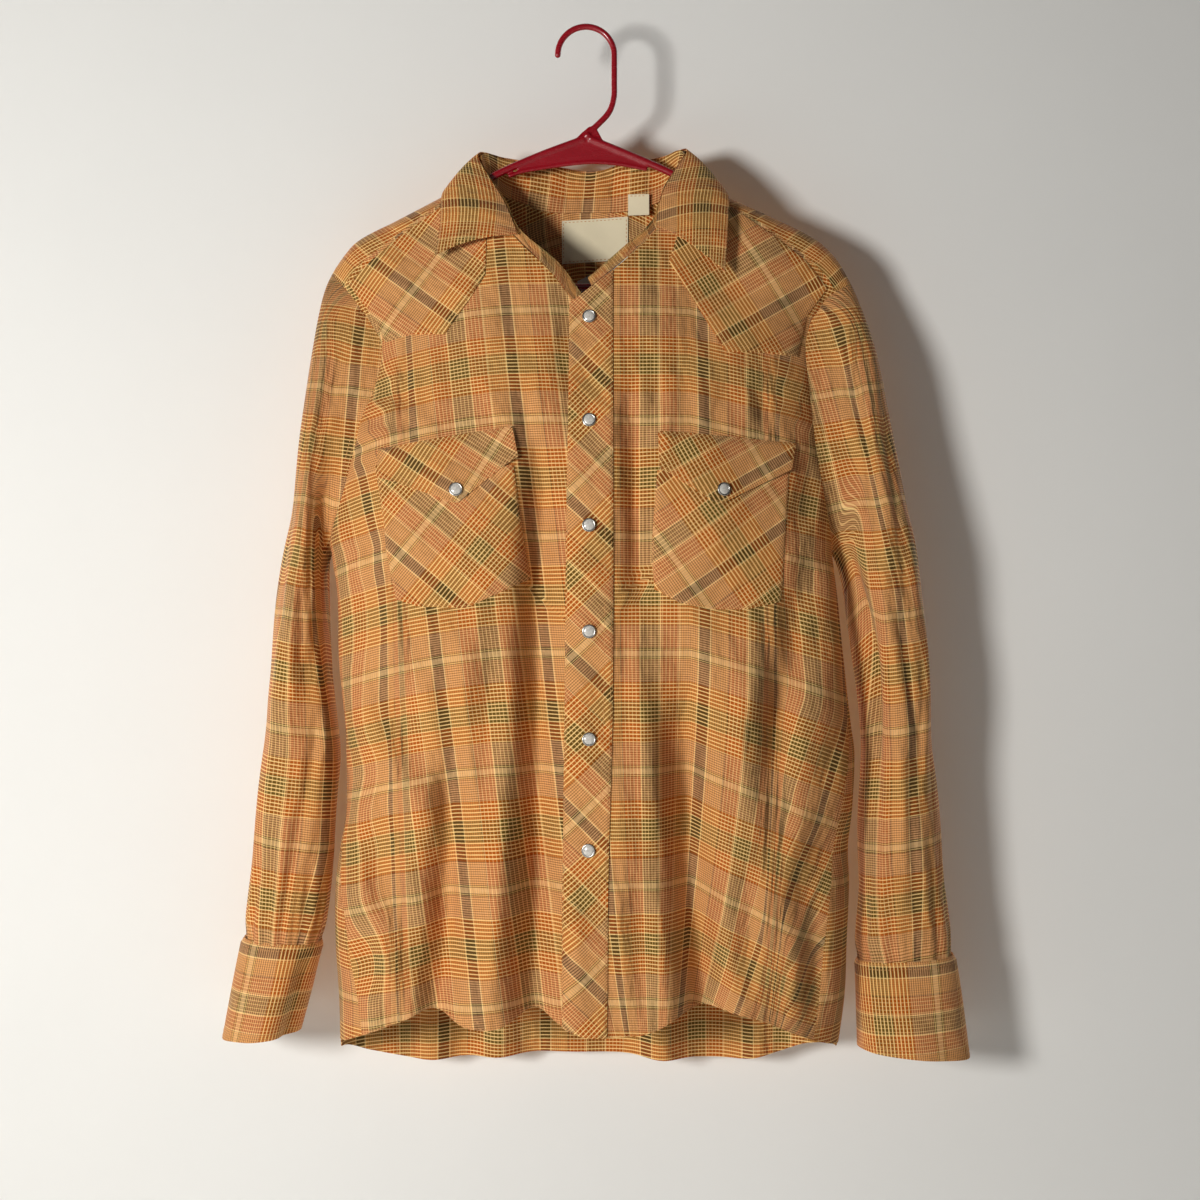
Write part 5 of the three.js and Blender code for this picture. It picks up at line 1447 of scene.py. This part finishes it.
def make_snaps(settings):
    """Six snaps on the placket, one on each pocket and three on each cuff."""
    pattern = snap_pattern(settings)
    places = []
    for i, z in enumerate(FRONT_SNAP_HEIGHTS):
        facing = front_normal(np.array(FRONT_SNAP_X), np.array(z))
        places.append((f"front_snap_{i + 1}", front_point(FRONT_SNAP_X, z), facing, settings.layer + 0.65))
    for hand, (x, z) in POCKET_SNAPS.items():
        facing = front_normal(np.array(x), np.array(z))
        places.append((f"pocket_snap_{hand}", front_point(x, z), facing, settings.layer * 2 + 1.2))
    for hand, table in (("left", CUFF_LEFT), ("right", CUFF_RIGHT)):
        for i, step in enumerate(CUFF_SNAP_STEPS):
            place, turn, small = step * (len(table.data) - 1), CUFF_SNAP_TURN, 0.05
            around = ring_point(table, place, turn + small) - ring_point(table, place, turn - small)
            down = ring_point(table, place + small, turn) - ring_point(table, place - small, turn)
            point = ring_point(table, place, turn)
            centre = (ring_point(table, place, 0.0) + ring_point(table, place, np.pi)) / 2
            facing = unit(np.cross(around, down))
            facing = facing if facing @ (point - centre) > 0 else -facing
            places.append((f"cuff_snap_{hand}_{i + 1}", point, facing, 1.4))
    for name, point, facing, lift in places:
        piece = pattern.copy()
        piece.data = pattern.data.copy()
        bpy.context.scene.collection.objects.link(piece)
        turn = Vector(facing).to_track_quat("Z", "Y").to_matrix().to_4x4()
        turn.translation = Vector((point + facing * lift) * MM)
        piece.data.transform(turn)
        piece.name = piece.data.name = name + "_cap"
        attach(piece, "root")
        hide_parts(name)
    bpy.data.objects.remove(pattern)


def smooth_path(points, step=2.0):
    """A smooth line through x, z points, as Catmull and Rom draw it, with about that step."""
    p = np.array(points, float)
    p = np.concatenate([[2 * p[0] - p[1]], p, [2 * p[-1] - p[-2]]])
    line = []
    for i in range(1, len(p) - 2):
        count = max(2, int(np.linalg.norm(p[i + 1] - p[i]) / step))
        t = np.linspace(0, 1, count, endpoint=False)[:, None]
        line.append(0.5 * (2 * p[i] + (p[i + 1] - p[i - 1]) * t + (2 * p[i - 1] - 5 * p[i] + 4 * p[i + 1] - p[i + 2]) * t**2
                           + (3 * p[i] - p[i - 1] - 3 * p[i + 1] + p[i + 2]) * t**3))
    line.append(p[-2][None])
    return np.concatenate(line)


def tube(points, radius):
    """A round tube along x, z points in the hanger's plane, with closed ends."""
    curve = bpy.data.curves.new("tube", "CURVE")
    curve.dimensions = "3D"
    spline = curve.splines.new("POLY")
    spline.points.add(len(points) - 1)
    for node, (x, z) in zip(spline.points, points):
        node.co = (x * MM, 0, z * MM, 1)
    curve.bevel_depth, curve.bevel_resolution, curve.use_fill_caps = radius * MM, 5, True
    piece = bpy.data.objects.new("tube", curve)
    bpy.context.scene.collection.objects.link(piece)
    only(piece)
    bpy.ops.object.convert(target="MESH")
    return bpy.context.object


def ball(x, z, radius):
    deselect()
    bpy.ops.mesh.primitive_uv_sphere_add(segments=24, ring_count=12, radius=radius * MM, location=(x * MM, 0, z * MM))
    bpy.ops.object.transform_apply(location=True, rotation=True, scale=True)
    return bpy.context.object


def plate(outline, thickness):
    """A flat plate in the hanger's plane, inside an outline of x, z points."""
    mesh = bpy.data.meshes.new("plate")
    mesh.from_pydata([(x * MM, -thickness / 2 * MM, z * MM) for x, z in outline], [], [tuple(range(len(outline)))])
    piece = bpy.data.objects.new("plate", mesh)
    bpy.context.scene.collection.objects.link(piece)
    edit(
        piece,
        (bpy.ops.mesh.extrude_region_move, {"TRANSFORM_OT_translate": {"value": (0, thickness * MM, 0)}}),
        (bpy.ops.mesh.select_all, {"action": "SELECT"}),
        (bpy.ops.mesh.normals_make_consistent, {"inside": False}),
    )
    return piece


def make_hanger(settings):
    """The tubular hanger as one moulding: hook, arms, bar, and the web under the neck, left plain."""
    hook, rod = settings.hook_rod / 2, settings.rod / 2
    radius, top = 24, 24 - hook
    angles = np.radians(np.arange(180, -1, -6))
    arc = np.stack([radius * np.cos(angles), radius * np.sin(angles) - top], -1)
    stem = smooth_path([(24, -23), (24, -44), (23.6, -58), (19.5, -70), (10, -80.5), (1.2, -88)])
    parts = [tube(np.concatenate([arc, stem]), hook)]
    parts += [tube(smooth_path(arm), rod) for arm in (ARM_LEFT, ARM_RIGHT)]
    parts.append(tube(np.array([(-186, BAR_Z), (0, BAR_Z), (194, BAR_Z)]), rod))
    parts += [ball(-24, 0 - top, hook), ball(-2.5, -93, rod * 1.02), ball(1.2, -90, rod * 1.25), ball(4.2, -93, rod * 1.02),
              ball(-186, BAR_Z, rod), ball(194, BAR_Z, rod)]
    under = smooth_path(WEB_LOWER_EDGE, 4)
    over = [(x, -94 - abs(x - 0.8) * 0.405) for x in (50, 36, 22, 8, 0.8, -8, -22, -36, -52)]
    parts.append(plate([*map(tuple, under), *over], 2.4))
    parts.append(tube(under, 1.7))
    neck = plate([(-13, -97), (16, -97), (9, -84), (3, -82), (-3, -87)], 3.2)
    parts.append(neck)
    for part in parts:
        part.select_set(True)
    bpy.context.view_layer.objects.active = parts[0]
    bpy.ops.object.join()
    piece = bpy.context.object
    apply_modifier(piece, "REMESH", mode="VOXEL", voxel_size=0.75 * MM)
    apply_modifier(piece, "SMOOTH", factor=0.6, iterations=7)
    finish_piece(
        piece, "hanger_moulding", "hanger",
        ["hanger_hook", "hanger_arm_left", "hanger_arm_right", "hanger_bar", "hanger_web"], sharp=70,
    )


# ---------------------------------------------------------------- the stage

CAMERA_PLACE = (11.9, -1480, -484.5)
CAMERA_LENS = 52.24
FLOOR_Z = -1180
WALL_Y = 68


def stage_material(name, colour, one_sided=False):
    """Pale plain paper, slightly uneven. A wall is clear from behind, so other views see past it."""
    paint = Paint(name, Roughness=0.9)
    source, x, y, z = paint.place()
    cloud = paint.noise(source, 3.0, 4.0)
    paint.set("Base Color", paint.mix(colour, tuple(c * 0.93 for c in colour), cloud))
    if one_sided:
        back = paint.node("NewGeometry", {}).out("Backfacing")
        clear = paint.node("BsdfTransparent", {}).out()
        both = paint.node("MixShader", {}, back, paint.shader.out(), clear).out()
        paint.fill(paint.output.node.inputs["Surface"], both)
    return paint.material


def area_light(name, place, aim, size, power, colour):
    light = bpy.data.lights.new(name, "AREA")
    light.shape, light.size, light.energy, light.color = "DISK", size, power, colour
    lamp = bpy.data.objects.new(name, light)
    bpy.context.scene.collection.objects.link(lamp)
    lamp.location = place
    lamp.rotation_mode = "QUATERNION"
    lamp.rotation_quaternion = (Vector(aim) - Vector(place)).to_track_quat("-Z", "Y")


def make_stage(settings):
    """Pale floor and wall, soft studio light from the left, and the camera at the photo's angle."""
    pale = linear(236, 235, 232)
    deselect()
    bpy.ops.mesh.primitive_plane_add(size=12, location=(0, 0, FLOOR_Z * MM))
    floor = bpy.context.object
    floor.name = "stage_floor"
    floor.data.materials.append(stage_material("stage_floor", pale))
    deselect()
    bpy.ops.mesh.primitive_plane_add(size=3.2, location=(0, WALL_Y * MM, (FLOOR_Z + 1600) * MM), rotation=(math.pi / 2, 0, 0))
    wall = bpy.context.object
    wall.name = "stage_wall"
    wall.visible_shadow = False
    bpy.ops.object.transform_apply(location=True, rotation=True, scale=True)
    wall.data.materials.append(stage_material("stage_wall", pale, one_sided=True))
    world = bpy.data.worlds.new("studio")
    bpy.context.scene.world = world
    world.use_nodes = True
    sky = world.node_tree.nodes["Background"]
    sky.inputs["Color"].default_value = (0.90, 0.90, 0.92, 1)
    sky.inputs["Strength"].default_value = settings.fill
    middle = (0, 0, -0.45)
    area_light("key", (-1.05, -1.6, -0.42), middle, 0.4, settings.key, (1.0, 0.99, 0.96))
    area_light("front_fill", (0.3, -3.0, 0.1), middle, 2.4, settings.key * 0.06, (1.0, 0.98, 0.95))
    area_light("back_left", (-1.6, 2.2, 0.8), middle, 1.6, settings.key * 1.5, (1.0, 0.97, 0.93))
    area_light("back_right", (1.9, 2.0, 0.4), middle, 1.6, settings.key * 0.9, (0.95, 0.97, 1.0))
    bpy.context.scene.view_settings.view_transform = "Standard"
    camera = bpy.data.objects.new("camera", bpy.data.cameras.new("camera"))
    bpy.context.scene.collection.objects.link(camera)
    camera.data.lens, camera.data.sensor_width = CAMERA_LENS, 36
    camera.location = Vector(CAMERA_PLACE) * MM
    camera.rotation_euler = (math.pi / 2, 0, 0)
    camera.data.clip_start, camera.data.clip_end = 0.05, 50
    bpy.context.scene.camera = camera


# ---------------------------------------------------------------- the add-on: settings, operators, panel


class ShirtSettings(bpy.types.PropertyGroup):
    """Sizes of the shirt and its hanger, in millimetres, and the strength of the light."""

    cloth: bpy.props.FloatProperty(
        name="Cloth thickness", description="Thickness of one layer of cloth, mm", default=0.7, min=0.3, max=1.2
    )
    layer: bpy.props.FloatProperty(
        name="Layer lift", description="How far a sewn-on piece stands off what carries it, mm", default=1.5, min=1.0, max=2.3
    )
    snap: bpy.props.FloatProperty(name="Snap", description="Diameter of a snap, mm", default=11.2, min=9, max=13)
    rod: bpy.props.FloatProperty(name="Hanger rod", description="Diameter of the hanger's arms, mm", default=6.4, min=5, max=7)
    hook_rod: bpy.props.FloatProperty(name="Hook rod", description="Diameter of the hook's rod, mm", default=5.5, min=4, max=7)
    key: bpy.props.FloatProperty(name="Key light", description="Power of the light from the left", default=29, min=0, unit="POWER")
    fill: bpy.props.FloatProperty(name="Fill", description="Strength of the light all round", default=0.05, min=0, subtype="FACTOR")


def operator_for(name, label, text, make):
    """An operator that makes a group of like pieces from the scene's settings."""

    def execute(self, context):
        make(context.scene.snap_shirt)
        return {"FINISHED"}

    members = {
        "bl_idname": "snap_shirt." + name,
        "bl_label": label,
        "bl_options": {"REGISTER", "UNDO"},
        "__doc__": text,
        "execute": execute,
    }
    return type("SNAP_SHIRT_OT_" + name, (bpy.types.Operator,), members)


STEPS = [
    operator_for(name, label, make.__doc__, make)
    for name, label, make in (
        ("stage", "Stage", make_stage),
        ("hanger", "Hanger", make_hanger),
        ("fronts", "Fronts", make_fronts),
        ("back", "Back", make_back),
        ("back_yoke", "Back yoke", make_back_yoke),
        ("placket", "Placket", make_placket),
        ("yokes_and_pockets", "Front yokes and pockets", make_yokes_and_pockets),
        ("sleeves", "Sleeves", make_sleeves),
        ("cuffs", "Cuffs", make_cuffs),
        ("collar", "Collar", make_collar),
        ("labels", "Blank labels", make_labels),
        ("snaps", "Snaps", make_snaps),
    )
]


class SNAP_SHIRT_PT_panel(bpy.types.Panel):
    """The shirt's sizes and one button for each group of pieces."""

    bl_idname = "SNAP_SHIRT_PT_panel"
    bl_label = "Western snap shirt"
    bl_space_type = "VIEW_3D"
    bl_region_type = "UI"
    bl_category = "Shirt"

    def draw(self, context):
        for name in ShirtSettings.__annotations__:
            self.layout.prop(context.scene.snap_shirt, name)
        for step in STEPS:
            self.layout.operator(step.bl_idname)


CLASSES = (ShirtSettings, *STEPS, SNAP_SHIRT_PT_panel)


def register():
    for cls in CLASSES:
        bpy.utils.register_class(cls)
    bpy.types.Scene.snap_shirt = bpy.props.PointerProperty(type=ShirtSettings)


def unregister():
    del bpy.types.Scene.snap_shirt
    for cls in reversed(CLASSES):
        bpy.utils.unregister_class(cls)


def main():
    register()
    for step in STEPS:
        getattr(bpy.ops.snap_shirt, step.bl_idname.split(".")[1])()
    bpy.context.view_layer.update()


if __name__ == "__main__":
    main()
